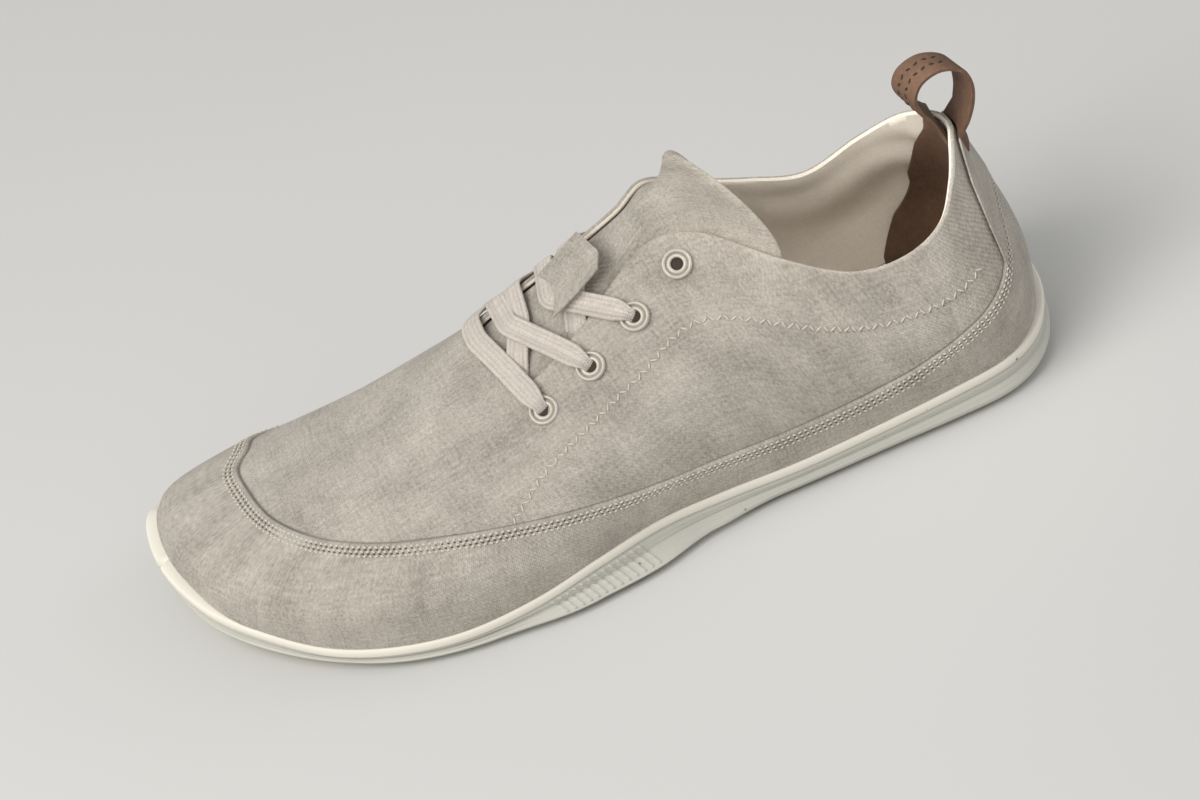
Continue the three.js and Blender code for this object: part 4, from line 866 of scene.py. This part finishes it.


# Stitches: short ovals of cream thread in rows along the seams, every second one turned the other way
# where the real seam is a feather stitch. The same ovals in darker colours make rows of painted shade.
def stitch_tree():
    tree = bpy.data.node_groups.new("stitch_row", "GeometryNodeTree")
    face = tree.interface
    sockets = {}
    for name, kind, value in (
        ("Seam", "NodeSocketGeometry", None), ("Pitch", "NodeSocketFloat", 0.0025),
        ("Length", "NodeSocketFloat", 0.0018), ("Width", "NodeSocketFloat", 0.0005),
        ("Height", "NodeSocketFloat", 0.0004), ("Turn", "NodeSocketFloat", 0.0),
        ("Seed", "NodeSocketInt", 1), ("Thread", "NodeSocketMaterial", None),
    ):
        socket = face.new_socket(name, in_out="INPUT", socket_type=kind)
        if value is not None:
            socket.default_value = value
        sockets[name] = socket.identifier
    face.new_socket("Stitches", in_out="OUTPUT", socket_type="NodeSocketGeometry")
    nodes, link = tree.nodes, tree.links.new
    inside, outside = nodes.new("NodeGroupInput"), nodes.new("NodeGroupOutput")
    curve = nodes.new("GeometryNodeMeshToCurve")
    spread = add_node(nodes, "GeometryNodeCurveToPoints", mode="LENGTH")
    facing = add_node(
        nodes, "GeometryNodeInputNamedAttribute", {"Name": "facing"}, data_type="FLOAT_VECTOR")
    up = add_node(nodes, "FunctionNodeAlignRotationToVector", axis="Z")
    ahead = add_node(nodes, "FunctionNodeAlignRotationToVector", axis="X", pivot_axis="Z")
    number = nodes.new("GeometryNodeInputIndex")
    odd = add_node(nodes, "ShaderNodeMath", {1: 2.0}, operation="MODULO")
    sign = add_node(nodes, "ShaderNodeMath", {1: -2.0, 2: 1.0}, operation="MULTIPLY_ADD")
    angle = add_node(nodes, "ShaderNodeMath", operation="MULTIPLY")
    wander = add_node(nodes, "FunctionNodeRandomValue", {"Min": -0.09, "Max": 0.09}, data_type="FLOAT")
    total = add_node(nodes, "ShaderNodeMath", operation="ADD")
    spin = add_node(nodes, "FunctionNodeAxisAngleToRotation", {"Axis": (0, 0, 1)})
    turned = add_node(nodes, "FunctionNodeRotateRotation", rotation_space="LOCAL")
    ball = add_node(nodes, "GeometryNodeMeshUVSphere", {"Segments": 8, "Rings": 5, "Radius": 0.5})
    size = nodes.new("ShaderNodeCombineXYZ")
    place = nodes.new("GeometryNodeInstanceOnPoints")
    real = nodes.new("GeometryNodeRealizeInstances")
    smooth = nodes.new("GeometryNodeSetShadeSmooth")
    finish = nodes.new("GeometryNodeSetMaterial")
    wire(link, (
        (inside, "Seam", curve, "Mesh"), (curve, "Curve", spread, "Curve"),
        (inside, "Pitch", spread, "Length"), (facing, "Attribute", up, "Vector"),
        (up, "Rotation", ahead, "Rotation"), (spread, "Tangent", ahead, "Vector"),
        (number, "Index", odd, 0), (odd, 0, sign, 0), (sign, 0, angle, 0), (inside, "Turn", angle, 1),
        (inside, "Seed", wander, "Seed"), (angle, 0, total, 0), (wander, "Value", total, 1),
        (total, 0, spin, "Angle"), (ahead, "Rotation", turned, "Rotation"),
        (spin, "Rotation", turned, "Rotate By"),
    ))
    for name, axis in (("Length", "X"), ("Width", "Y"), ("Height", "Z")):
        link(inside.outputs[name], size.inputs[axis])
    wire(link, (
        (spread, "Points", place, "Points"), (ball, "Mesh", place, "Instance"),
        (turned, "Rotation", place, "Rotation"), (size, "Vector", place, "Scale"),
        (place, "Instances", real, "Geometry"), (real, "Geometry", smooth, "Geometry"),
        (smooth, "Geometry", finish, "Geometry"), (inside, "Thread", finish, "Material"),
        (finish, "Geometry", outside, "Stitches"),
    ))
    return tree, sockets


stitch_nodes, stitch_sockets = stitch_tree()


def stitch_row(name, places, facing, pitch, length, width, height, turn, thread, seed=1):
    """Row of stitches, or of dark ovals of painted shade, along places, each lying flat to the cloth that
    faces that way.
    """
    places = np.asarray(places, float) - ORIGIN
    mesh = bpy.data.meshes.new(name)
    mesh.from_pydata(places.tolist(), [(k, k + 1) for k in range(len(places) - 1)], [])
    mesh.attributes.new("facing", "FLOAT_VECTOR", "POINT").data.foreach_set(
        "vector", np.asarray(facing, np.float32).ravel())
    piece = bpy.data.objects.new(name, mesh)
    bpy.context.scene.collection.objects.link(piece)
    modifier = piece.modifiers.new("stitches", "NODES")
    modifier.node_group = stitch_nodes
    for socket, value in (
        ("Pitch", pitch), ("Length", length), ("Width", width), ("Height", height),
        ("Turn", turn), ("Seed", seed), ("Thread", thread),
    ):
        modifier[stitch_sockets[socket]] = value
    evaluated = piece.evaluated_get(bpy.context.evaluated_depsgraph_get())
    made = bpy.data.meshes.new_from_object(evaluated)
    piece.modifiers.clear()
    piece.data = made
    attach(piece, "root")
    return piece


def plain_material(name, colour, roughness, grain, depth):
    """Even colour with a little variation and a fine grain."""
    material, nodes, shader, link = new_material(name, roughness)
    place = add_node(nodes, "ShaderNodeTexCoord")
    noise = add_node(nodes, "ShaderNodeTexNoise", {"Scale": grain, "Detail": 3})
    span = add_node(nodes, "ShaderNodeMapRange", {"To Min": 0.8, "To Max": 1.12})
    mixed = add_node(nodes, "ShaderNodeMix", {"Factor": 1}, data_type="RGBA", blend_type="MULTIPLY")
    mixed.inputs["A"].default_value = colour
    relief = add_node(nodes, "ShaderNodeBump", {"Strength": 0.6, "Distance": depth})
    wire(link, (
        (place, "Object", noise, "Vector"), (noise, "Fac", span, "Value"), (span, "Result", mixed, "B"),
        (mixed, "Result", shader, "Base Color"), (noise, "Fac", relief, "Height"),
        (relief, "Normal", shader, "Normal"),
    ))
    return material


thread_cream = plain_material("thread_cream", srgb(206, 198, 185), 0.85, 1400, 0.0001)
seam_walk = np.linspace(0, len(LAST), 900)
seam_share = share_at_height(seam_walk, station(seam_walk)["seam_z"] * COLLAR_HEIGHT)
walk_length = np.interp(
    seam_walk, np.append(ring_turns, len(LAST)), np.append(column_length, column_length[0]))
for number, (below, turn) in enumerate(((0.7, 0.45), (1.9, -0.45), (3.1, 0.45))):
    share = seam_share - below * MM / walk_length
    stitch_row(
        f"mudguard_stitches_{number + 1}", offset_skin(seam_walk, share, MUDGUARD_STEP + 0.1 * MM),
        skin_normal(seam_walk, share), 1.7 * MM, 1.2 * MM, 0.7 * MM, 0.5 * MM, turn, thread_cream, number + 1)
# Painted shade, in two darker tones: in the needle holes along the mudguard, and below the eyestay's raised
# stitching.
hole_shade_paint = plain_material("hole_shade_paint", srgb(92, 84, 75), 0.95, 900, 0.00005)
welt_shadow_paint = plain_material("welt_shadow_paint", srgb(124, 115, 104), 0.95, 900, 0.00005)
# Painted shade: rows of dark ovals between the rows of cream stitches, where the needle holes are shaded.
for number, below in enumerate((1.3, 2.5)):
    share = seam_share - below * MM / walk_length
    stitch_row(
        f"mudguard_hole_shade_{number + 1}", offset_skin(seam_walk, share, MUDGUARD_STEP + 0.02 * MM),
        skin_normal(seam_walk, share), 1.7 * MM, 0.85 * MM, 0.55 * MM, 0.2 * MM, 0, hole_shade_paint, number + 3)

# The eyestay's feather stitch: from the mudguard up behind the eyelets, then back along the collar to the
# heel. Station and share of the skin at each place.
EYESTAY = [
    (10.5, 0.36), (10.05, 0.45), (9.67, 0.517), (9.26, 0.545), (8.86, 0.565), (8.29, 0.592), (7.96, 0.613),
    (7.56, 0.667), (7.23, 0.705), (6.91, 0.725), (6.26, 0.735), (5.44, 0.692), (4.63, 0.64), (3.58, 0.61),
    (2.76, 0.617),
]
thread_line = spline(EYESTAY, np.linspace(0, len(EYESTAY) - 1, 300))
# The first row is the cream feather stitch; the second is painted shadow, darker ovals 0.9 mm lower, where
# the raised stitching shades the cloth.
for number, (shift, turn, stitch, wide, thread) in enumerate((
    (0, 0.8, 2.3, 0.55, thread_cream), (0.9, -0.25, 1.3, 0.4, welt_shadow_paint),
)):
    stand = crease_relief(skin_point(thread_line[:, 0], thread_line[:, 1])) + 0.15 * MM
    places = offset_skin(thread_line[:, 0], thread_line[:, 1], stand) - np.array([0, 0, shift * MM])
    stitch_row(
        f"eyestay_stitch_and_shadow_{number + 1}", places, skin_normal(thread_line[:, 0], thread_line[:, 1]),
        2 * MM, stitch * MM, wide * MM, 0.42 * MM, turn, thread, number + 5)

# Backstay: a strip of linen over the seam at the back of the heel, its foot under the mudguard.
BACKSTAY_STAND = 0.75 * MM
backstay_grid = []
for up in np.linspace(0, 1, 50):
    half = np.interp(up, [0, 0.35, 0.7, 1], [2.1, 1.85, 1.5, 0.85])
    column = np.linspace(-1, 1, 31) * half
    foot = share_at_height(column, station(column)["seam_z"] * COLLAR_HEIGHT)
    backstay_grid.append(offset_skin(column, foot + (0.985 - foot) * up, np.full(31, BACKSTAY_STAND)))
backstay = sheet_object("backstay_linen", np.array(backstay_grid)[:, ::-1], 0.7 * MM, round_edge=0.3)
backstay.data.materials.append(linen)
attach(backstay, "root")

# Pull loop: a strap of brown suede, sewn flat inside the heel, over the collar in a loop and down outside.
LEATHER_THICKNESS = 1.4 * MM
LOOP_WIDTH = 14 * MM
LOOP_PATH = np.array([
    (0.0625, 0.96), (0.069, 1.0), (0.079, 1.05), (0.0835, 1.11), (0.0745, 1.165), (0.054, 1.19),
    (0.034, 1.165), (0.0265, 1.11), (0.0285, 1.04), (0.036, 0.975),
])
LOOP_YAW = math.radians(19)
LOOP_SWAY = 3.2 * MM
LOOP_END = 6 * MM
HEEL_STATION = 8.8 * MM
LOOP_ROWS = 110
PATCH_ROWS = 60
# Rows between the patch's foot and the insole: share of the way down.
LOWERED_ROWS = (0.34, 0.67, 1)
PATCH_FOOT = 0.02
PATCH_TOP = 0.95
# Share of the way up, then half width in stations.
PATCH_HALF = [(0.02, 3.8), (0.24, 3.45), (0.6, 2.65), (0.82, 1.75), (0.95, 0.95)]
LOOP_LEAN = 0.35

strap_across = np.linspace(-1, 1, 27)
strap = []
for share in np.linspace(0, 1, PATCH_ROWS):
    up = PATCH_FOOT + (PATCH_TOP - PATCH_FOOT) * share
    half = np.interp(up, *zip(*PATCH_HALF))
    lean = np.interp(up, [0.5, PATCH_TOP], [0, LOOP_LEAN])
    strap.append(offset_skin(strap_across * half - lean, up, -WALL - 2 * GAP))
foot_row = strap[0]
floor_height = underside(foot_row[:, 0]) + SOLE_THICKNESS + INSOLE_THICKNESS + 2 * GAP
for part in LOWERED_ROWS:
    lowered = foot_row.copy()
    lowered[:, 2] += (floor_height - foot_row[:, 2]) * part
    strap.insert(0, lowered)
loop_line = spline(LOOP_PATH, np.linspace(0, len(LOOP_PATH) - 1, LOOP_ROWS))
for (along, height), share in zip(loop_line, np.linspace(0, 1, LOOP_ROWS)):
    waist = 1 - 0.16 * math.sin(math.pi * share)
    yaw = LOOP_YAW * math.sin(math.pi * share)
    reach = strap_across * LOOP_WIDTH / 2 * waist
    strap.append(np.column_stack([
        along * SOLE_LENGTH - reach * math.sin(yaw), reach * math.cos(yaw) - LOOP_SWAY * (1 - share) ** 2,
        np.full(len(reach), height * COLLAR_HEIGHT)]))
for depth in np.linspace(0.12, 1, 14):
    half = LOOP_WIDTH / 2 / HEEL_STATION
    strap.append(offset_skin(strap_across * half, share_at_depth(0, depth * LOOP_END), 2 * GAP))
strap = np.array(strap)
leather_piece = sheet_object("loop_leather", strap, LEATHER_THICKNESS, round_edge=0.35)

leather, nodes, shader, link = new_material("loop_leather", 0.78)
place = add_node(nodes, "ShaderNodeTexCoord")
nap = add_node(nodes, "ShaderNodeTexNoise", {"Scale": 330, "Detail": 6, "Roughness": 0.7})
pores = add_node(nodes, "ShaderNodeTexVoronoi", {"Scale": 900}, feature="F1")
tones = add_node(nodes, "ShaderNodeMix", data_type="RGBA")
tones.inputs["A"].default_value = srgb(74, 54, 42)
tones.inputs["B"].default_value = srgb(118, 91, 72)
grain = add_node(nodes, "ShaderNodeMath", {1: 0.5}, operation="MULTIPLY_ADD")
relief = add_node(nodes, "ShaderNodeBump", {"Strength": 0.7, "Distance": 0.0003})
wire(link, (
    (place, "Object", nap, "Vector"), (place, "Object", pores, "Vector"), (nap, "Fac", tones, "Factor"),
    (pores, "Distance", grain, 0), (nap, "Fac", grain, 2), (grain, "Value", relief, "Height"),
    (tones, "Result", shader, "Base Color"), (relief, "Normal", shader, "Normal"),
))
leather_piece.data.materials.append(leather)
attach(leather_piece, "root")
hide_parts("pull_loop")


def strap_row(name, rows, across, stand, pitch, length, width, turn, thread):
    """Row of stitches, or of dark ovals of painted shade, along the strap, at a share of its half width, on
    one of its faces.
    """
    grid = strap[rows]
    places = np.array([[np.interp(across, strap_across, line[:, k]) for k in range(3)] for line in grid])
    along, side = np.gradient(places, axis=0), grid[:, -1] - grid[:, 0]
    facing = np.cross(side, along)
    facing /= np.linalg.norm(facing, axis=1, keepdims=True)
    stitch_row(name, places + facing * stand, facing, pitch, length, width, 0.4 * MM, turn, thread, 9)


# Tan thread for the patch's stitches; a dark brown for the painted shade in the loop's perforations.
perforation_shade_paint = plain_material("perforation_shade_paint", srgb(50, 36, 29), 0.9, 900, 0.00005)
thread_tan = plain_material("thread_tan", srgb(172, 142, 116), 0.9, 900, 0.00005)
patch_rows = slice(len(LOWERED_ROWS), PATCH_ROWS - 2)
for number, across in enumerate((-0.88, 0.88)):
    strap_row(
        f"patch_stitches_{number + 1}", patch_rows, across, LEATHER_THICKNESS,
        2.6 * MM, 1.6 * MM, 0.5 * MM, 0, thread_tan)
loop_from = PATCH_ROWS + len(LOWERED_ROWS)
ring_rows = slice(loop_from + 12, loop_from + 66)
# Painted shade: two zigzag rows of dark ovals along the loop's middle stand for the shade in its
# perforations.
for number, across in enumerate((-0.3, 0.3)):
    strap_row(
        f"loop_perforation_shade_{number + 1}", ring_rows, across, LEATHER_THICKNESS,
        2.4 * MM, 1.7 * MM, 0.9 * MM, 0.5, perforation_shade_paint)

# Eyelets: four pressed metal rings on each side of the throat, rolled over the cloth.
EYELET_INNER = 2.1 * MM
TUBE_WALL = 0.5 * MM
# Rolled beads: radius of the middle, half width and height in millimetres.
OUTER_BEAD = (3.75, 0.55, 0.8)
INNER_BEAD = (2.3, 0.55, 0.45)
BEAD_LIFT = 0.1
EYELET_SIDES = 40
THROAT_MIDDLE = 0.015
EYELET_ROWS = [(0.552, 0.295, 0.225), (0.491, 0.262, 0.22), (0.431, 0.218, 0.2), (0.371, 0.165, 0.185)]


def locate(x, y, start, end):
    """Station and share of the skin nearest to a place in plan."""
    centre, reach = np.array([(start + end) / 2, 0.75]), np.array([(end - start) / 2, 0.25])
    grid = np.stack(np.meshgrid(np.linspace(-1, 1, 17), np.linspace(-1, 1, 17)), -1).reshape(-1, 2)
    for _ in range(5):
        tries = centre + grid * reach
        tries[:, 1] = np.minimum(tries[:, 1], 1)
        plan = skin_point(tries[:, 0], tries[:, 1])[:, :2]
        centre = tries[np.argmin(np.hypot(plan[:, 0] - x, plan[:, 1] - y))]
        reach = reach / 4
    return centre


eyelets = {}
for number, (along, outer, inner) in enumerate(EYELET_ROWS, 1):
    for side, across, start, end in (("outer", THROAT_MIDDLE + outer, 6.5, 11.5),
                                     ("inner", THROAT_MIDDLE - inner, 23, 29.5)):
        turn, share = locate(along * SOLE_LENGTH, across * BALL_WIDTH, start, end)
        eyelets[side, number] = {
            "turn": turn, "share": share, "reach": (start, end),
            "point": skin_point(turn, share), "normal": skin_normal(turn, share),
        }

metal = plain_material("eyelet_metal", srgb(196, 189, 178), 0.5, 700, 0.00003)
metal.node_tree.nodes["Principled BSDF"].inputs["Metallic"].default_value = 0.4
painted_hole_shadow = plain_material("eyelet_hole_shadow", srgb(66, 58, 51), 0.95, 500, 0.00003)
tube = EYELET_INNER + TUBE_WALL
bead = []
for (middle, half, high), lift, start, steps in ((OUTER_BEAD, 0, 0, 9), (INNER_BEAD, BEAD_LIFT, 0.2, 8)):
    for a in np.linspace(start, math.pi, steps):
        bead.append(((middle + half * math.cos(a)) * MM, (GAP / MM + lift + high * math.sin(a) ** 0.8) * MM))
eyelet_profile = np.array([(tube, -WALL), (tube, GAP), *bead, (EYELET_INNER, -WALL)])
for (side, number), eyelet in eyelets.items():
    normal = eyelet["normal"]
    level = np.cross(normal, (0, 0, 1))
    level /= np.linalg.norm(level)
    rest = np.cross(normal, level)
    angle = np.linspace(0, 2 * math.pi, EYELET_SIDES, endpoint=False)[:, None, None]
    radius, height = eyelet_profile[:, 0][None, :, None], eyelet_profile[:, 1][None, :, None]
    ring = eyelet["point"] + radius * (np.cos(angle) * level + np.sin(angle) * rest) + height * normal
    faces = grid_faces(EYELET_SIDES, len(eyelet_profile), round_columns=True, round_rows=True)
    piece = solid_object(f"eyelet_{side}_{number}_ring", ring, faces, sharp=55)
    piece.data.materials.append(metal)
    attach(piece, "root")
    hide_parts(f"eyelet_{side}_{number}")
    # Painted shadow: a dark disc just inside each ring stands for the shade deep in the eyelet's hole.
    disc_rim = EYELET_INNER + 0.1 * MM
    disc = [(0.01 * MM, 0.3 * MM), (disc_rim, 0.25 * MM), (disc_rim, -0.3 * MM), (0.01 * MM, -0.3 * MM)]
    radius, height = (np.array(disc)[:, k][None, :, None] for k in (0, 1))
    cover = eyelet["point"] + radius * (np.cos(angle) * level + np.sin(angle) * rest) + height * normal
    disc_faces = grid_faces(EYELET_SIDES, len(disc), round_columns=True, round_rows=True)
    shade = solid_object(f"eyelet_{side}_{number}_hole", cover, disc_faces, sharp=40)
    shade.data.materials.append(painted_hole_shadow)
    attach(shade, "root")

# Lace: one flat cotton lace. It comes up through an eyelet, lies over the quarter's edge and the throat,
# and goes down through an eyelet of the other side; its two ends are tucked away inside.
LACE_WIDTH = 6.6 * MM
LACE_THICKNESS = 1.3 * MM
LACE_STEPS = 34
# Eyelet row on the outer and on the inner side, then the stations where it crosses the edges.
# Outer row 0 is a pass that comes out from under the quarter's edge.
LACE_PASSES = [
    (1, 1, 12.1, 21.9), (0, 2, 10.2, 24.1), (2, 1, 10.45, 23.55), (0, 3, 9.1, 25.6), (3, 2, 9.55, 25),
]
# Distance from the eyelet's middle in millimetres, then lift over the cloth and share of the full width.
LACE_LIFT = [(0, -2.2), (1.1, 0.2), (2.4, 1.5), (4.4, 1.55), (7, 0.65), (12, 0.55)]
LACE_SPREAD = [(0, 0.5), (1.4, 0.56), (3, 0.8), (5, 0.97), (7, 1)]
# The same for a pass that starts under the quarter's edge, then share of the full thickness.
TUCKED_LIFT = [(0, -2.4), (2.5, -2.3), (6, -1.2), (10, 0), (15, 0.55)]
TUCKED_THICKNESS = [(0, 0.35), (1.8, 0.4), (3.5, 1)]
TUCK = 1.5 * MM
LACE_RIBS = 5
LACE_SIDES = 44
CROSSING_REACH = 6 * MM


def lace_half(eyelet, edge, from_edge):
    """Middle line, facing and width of the lace from an eyelet to the quarter's edge."""
    start, finish = eyelet["point"], skin_point(edge, 1.0)
    length = np.linalg.norm(finish - start)
    share = np.linspace(0, 1, LACE_STEPS) ** 1.25
    lines = []
    for part in share:
        plan = start + (finish - start) * part
        turn, up = (edge, 1.0) if part > 0.999 else locate(plan[0], plan[1], *eyelet["reach"])
        away = part * length / MM
        lines.append((offset_skin(turn, up, eased(LACE_LIFT, away) * MM), skin_normal(turn, up),
                      eased(LACE_SPREAD, away), 1.0))
    return lines[::-1] if from_edge else lines


def tucked_half(edge):
    """The same from under the quarter's edge up to the crest line."""
    depth = station(edge)["cut"] * BALL_WIDTH + TUCK
    lines = []
    for part in np.linspace(0, 1, LACE_STEPS):
        up, away = share_at_depth(edge, depth * (1 - part)), depth * part / MM
        lines.append((offset_skin(edge, up, eased(TUCKED_LIFT, away) * MM), skin_normal(edge, up),
                      1.0, eased(TUCKED_THICKNESS, away)))
    return lines


lace_lines = []
for outer_row, inner_row, outer_edge_at, inner_edge_at in LACE_PASSES:
    if outer_row:
        path = lace_half(eyelets["outer", outer_row], outer_edge_at, False)
    else:
        path = tucked_half(outer_edge_at)
    path += lace_half(eyelets["inner", inner_row], inner_edge_at, True)
    middle, facing, width, thick = (np.array([row[k] for row in path]) for k in range(4))
    length = walked(middle)
    even = np.linspace(0, length[-1], 110)
    middle = np.column_stack([np.interp(even, length, middle[:, k]) for k in range(3)])
    facing = np.column_stack([np.interp(even, length, facing[:, k]) for k in range(3)])
    width, thick = np.interp(even, length, width), np.interp(even, length, thick)
    for _ in range(12):
        middle[1:-1] = (middle[:-2] + 2 * middle[1:-1] + middle[2:]) / 4
        facing[1:-1] = (facing[:-2] + 2 * facing[1:-1] + facing[2:]) / 4
    facing /= np.linalg.norm(facing, axis=1, keepdims=True)
    for below, *_ in lace_lines:
        gaps = np.linalg.norm(middle[:, None, :2] - below[None, :, :2], axis=-1)
        inner_part = gaps[15:-15]
        nearest = inner_part.min(axis=1).argmin() + 15
        if gaps[nearest].min() < 1.5 * MM:
            rise = np.exp(-((even - even[nearest]) / CROSSING_REACH) ** 2)
            middle = middle + facing * (rise * (LACE_THICKNESS + 0.25 * MM))[:, None]
    lace_lines.append((middle, facing, width, thick))

angle = np.linspace(0, 2 * math.pi, LACE_SIDES, endpoint=False)
section_side = np.sign(np.cos(angle)) * np.abs(np.cos(angle)) ** 0.7 / 2
section_up = np.sign(np.sin(angle)) * np.abs(np.sin(angle)) ** 0.55 / 2
rib_valley = ((1 - np.cos(2 * math.pi * LACE_RIBS * section_side)) / 2) ** 2
section_up = section_up * (1 - 0.34 * rib_valley) + 0.5
cotton_lace = woven_material(
    "lace_cotton", srgb(190, 179, 168), srgb(234, 225, 214), 0.5 * MM, 0.1, 0.3, 0.00012)
all_points, all_faces, all_uv, count = [], [], [], 0
for middle, facing, width, thick in lace_lines:
    along = np.gradient(middle, axis=0)
    across = np.cross(along, facing)
    across /= np.linalg.norm(across, axis=1, keepdims=True)
    up = np.cross(across, along)
    up /= np.linalg.norm(up, axis=1, keepdims=True)
    breadth = across[:, None] * (section_side * LACE_WIDTH)[None, :, None] * width[:, None, None]
    body = up[:, None] * (section_up * LACE_THICKNESS)[None, :, None] * thick[:, None, None]
    strip = middle[:, None] + breadth + body
    r, c = strip.shape[:2]
    faces = grid_faces(r, c, round_columns=True)
    length = walked(middle)
    places = np.stack(np.broadcast_arrays(length[:, None], (section_side * LACE_WIDTH)[None, :]), -1)
    places = places.reshape(-1, 2)
    caps = np.concatenate([ladder_faces(c, 0), ladder_faces(c, (r - 1) * c, flip=True)])
    faces = np.concatenate([faces, caps])
    all_points.append(strip.reshape(-1, 3))
    all_faces.append(faces + count)
    all_uv.append(places[faces])
    count += r * c
lace = solid_object(
    "lace_flat", np.concatenate(all_points), np.concatenate(all_faces), np.concatenate(all_uv), 70)
# Painted shade in the valleys between the lace's ribs, darkening its colour through the seam_shadow number.
add_attribute(lace, "seam_shadow", np.tile(0.34 * rib_valley, count // LACE_SIDES))
lace.data.materials.append(cotton_lace)
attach(lace, "root")
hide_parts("lace")

# Lace keeper: a short band of linen sewn along the tongue, over the upper laces.
KEEPER_THICKNESS = 1.1 * MM
KEEPER_OFFSET = 0.55 * MM + LACE_THICKNESS + 2 * GAP + KEEPER_THICKNESS + 1.4 * MM
KEEPER_RISE = 1 * MM
# Near edge: station and depth in millimetres; far edge: station and share of the way there.
KEEPER = [(9.32, 9.4, 24.4, 0.36), (9.08, 8, 24.9, 0.44), (8.84, 6.6, 25.4, 0.52), (8.58, 5.2, 25.9, 0.6)]

keeper_rows = []
for row in np.linspace(0, len(KEEPER) - 1, 22):
    outer, depth, inner, reach = spline(KEEPER, row)
    shares = [share_at_depth(outer, depth * part * MM) for part in (1, 0.5, 0)]
    near = [offset_skin(outer, share, KEEPER_OFFSET) for share in shares]
    far = offset_skin(inner, 1.0, KEEPER_OFFSET)
    over = []
    for part in (0.25, 0.5, 0.75, 1):
        rise = np.array([0, 0, KEEPER_RISE * math.sin(math.pi * part * reach)])
        over.append(near[-1] + (far - near[-1]) * part * reach + rise)
    keeper_rows.append(spline(near + over, np.linspace(0, 6, 26)))
keeper = sheet_object("keeper_linen", np.array(keeper_rows)[:, ::-1], KEEPER_THICKNESS, round_edge=0.4)
keeper.data.materials.append(linen)
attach(keeper, "root")
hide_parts("lace_keeper")

# Floor and light: a plain pale studio sweep under soft light from above and from the left.
FLOOR_SIZE = 6
bpy.ops.mesh.primitive_plane_add(size=FLOOR_SIZE, location=(0, 0, -0.0002))
floor = bpy.context.object
floor.name = "studio_floor"
floor_paint, nodes, shader, link = new_material("floor_paint", 0.9)
place = add_node(nodes, "ShaderNodeTexCoord")
haze = add_node(nodes, "ShaderNodeTexNoise", {"Scale": 3, "Detail": 2})
tones = add_node(nodes, "ShaderNodeMix", data_type="RGBA")
tones.inputs["A"].default_value = srgb(203, 202, 199)
tones.inputs["B"].default_value = srgb(210, 209, 206)
wire(link, (
    (place, "Object", haze, "Vector"), (haze, "Fac", tones, "Factor"),
    (tones, "Result", shader, "Base Color"),
))
floor.data.materials.append(floor_paint)


def area_light(name, place, size, power, colour):
    """Square soft light that shines at the shoe."""
    lamp = bpy.data.lights.new(name, "AREA")
    lamp.size = size
    lamp.energy = power
    lamp.color = colour
    holder = bpy.data.objects.new(name, lamp)
    holder.visible_camera = False
    bpy.context.scene.collection.objects.link(holder)
    away = np.array(place, float)
    away /= np.linalg.norm(away)
    side = np.cross((0.0, 1.0, 0.0), away)
    side /= np.linalg.norm(side)
    axes = np.column_stack([side, np.cross(away, side), away, place])
    holder.matrix_world = Matrix([*axes.tolist(), (0, 0, 0, 1)])


area_light("key_light", (0.95, 0.6, 1.15), 1.1, 19, (1, 0.985, 0.96))
area_light("side_light", (0.2, 1.6, 0.6), 1.4, 1.2, (1, 1, 1))
area_light("collar_light", (-0.008, 0.022, 0.115), 0.05, 0.022, (1, 0.97, 0.93))
area_light("heel_light", (-1.4, 0.1, 0.8), 1.0, 3, (0.96, 0.98, 1))
world = bpy.data.worlds.new("studio")
bpy.context.scene.world = world
world.use_nodes = True
world.node_tree.nodes["Background"].inputs["Color"].default_value = (0.93, 0.94, 0.95, 1)
world.node_tree.nodes["Background"].inputs["Strength"].default_value = 0.55
bpy.context.scene.view_settings.view_transform = "Standard"

# Camera: at the photograph's place, turn and roll, with a longer lens so that the one shoe fills the frame.
VIEW_TURN = math.radians(2.01)
VIEW_RISE = math.radians(36.98)
VIEW_ROLL = math.radians(18.86)
VIEW_DISTANCE = 1.311
VIEW_TARGET = np.array([0.13, 0.008, 0.03])
LENS = 140

back = np.array([
    math.sin(VIEW_TURN) * math.cos(VIEW_RISE),
    math.cos(VIEW_TURN) * math.cos(VIEW_RISE),
    math.sin(VIEW_RISE),
])
right = np.array([-math.cos(VIEW_TURN), math.sin(VIEW_TURN), 0])
above = np.cross(back, right)
rolled_right = math.cos(VIEW_ROLL) * right - math.sin(VIEW_ROLL) * above
rolled_up = math.sin(VIEW_ROLL) * right + math.cos(VIEW_ROLL) * above
axes = np.column_stack([rolled_right, rolled_up, back, VIEW_TARGET - ORIGIN + back * VIEW_DISTANCE])
lens = bpy.data.cameras.new("photo_camera")
lens.lens = LENS
lens.sensor_width = 36
camera = bpy.data.objects.new("photo_camera", lens)
bpy.context.scene.collection.objects.link(camera)
camera.matrix_world = Matrix([*axes.tolist(), (0, 0, 0, 1)])
bpy.context.scene.camera = camera
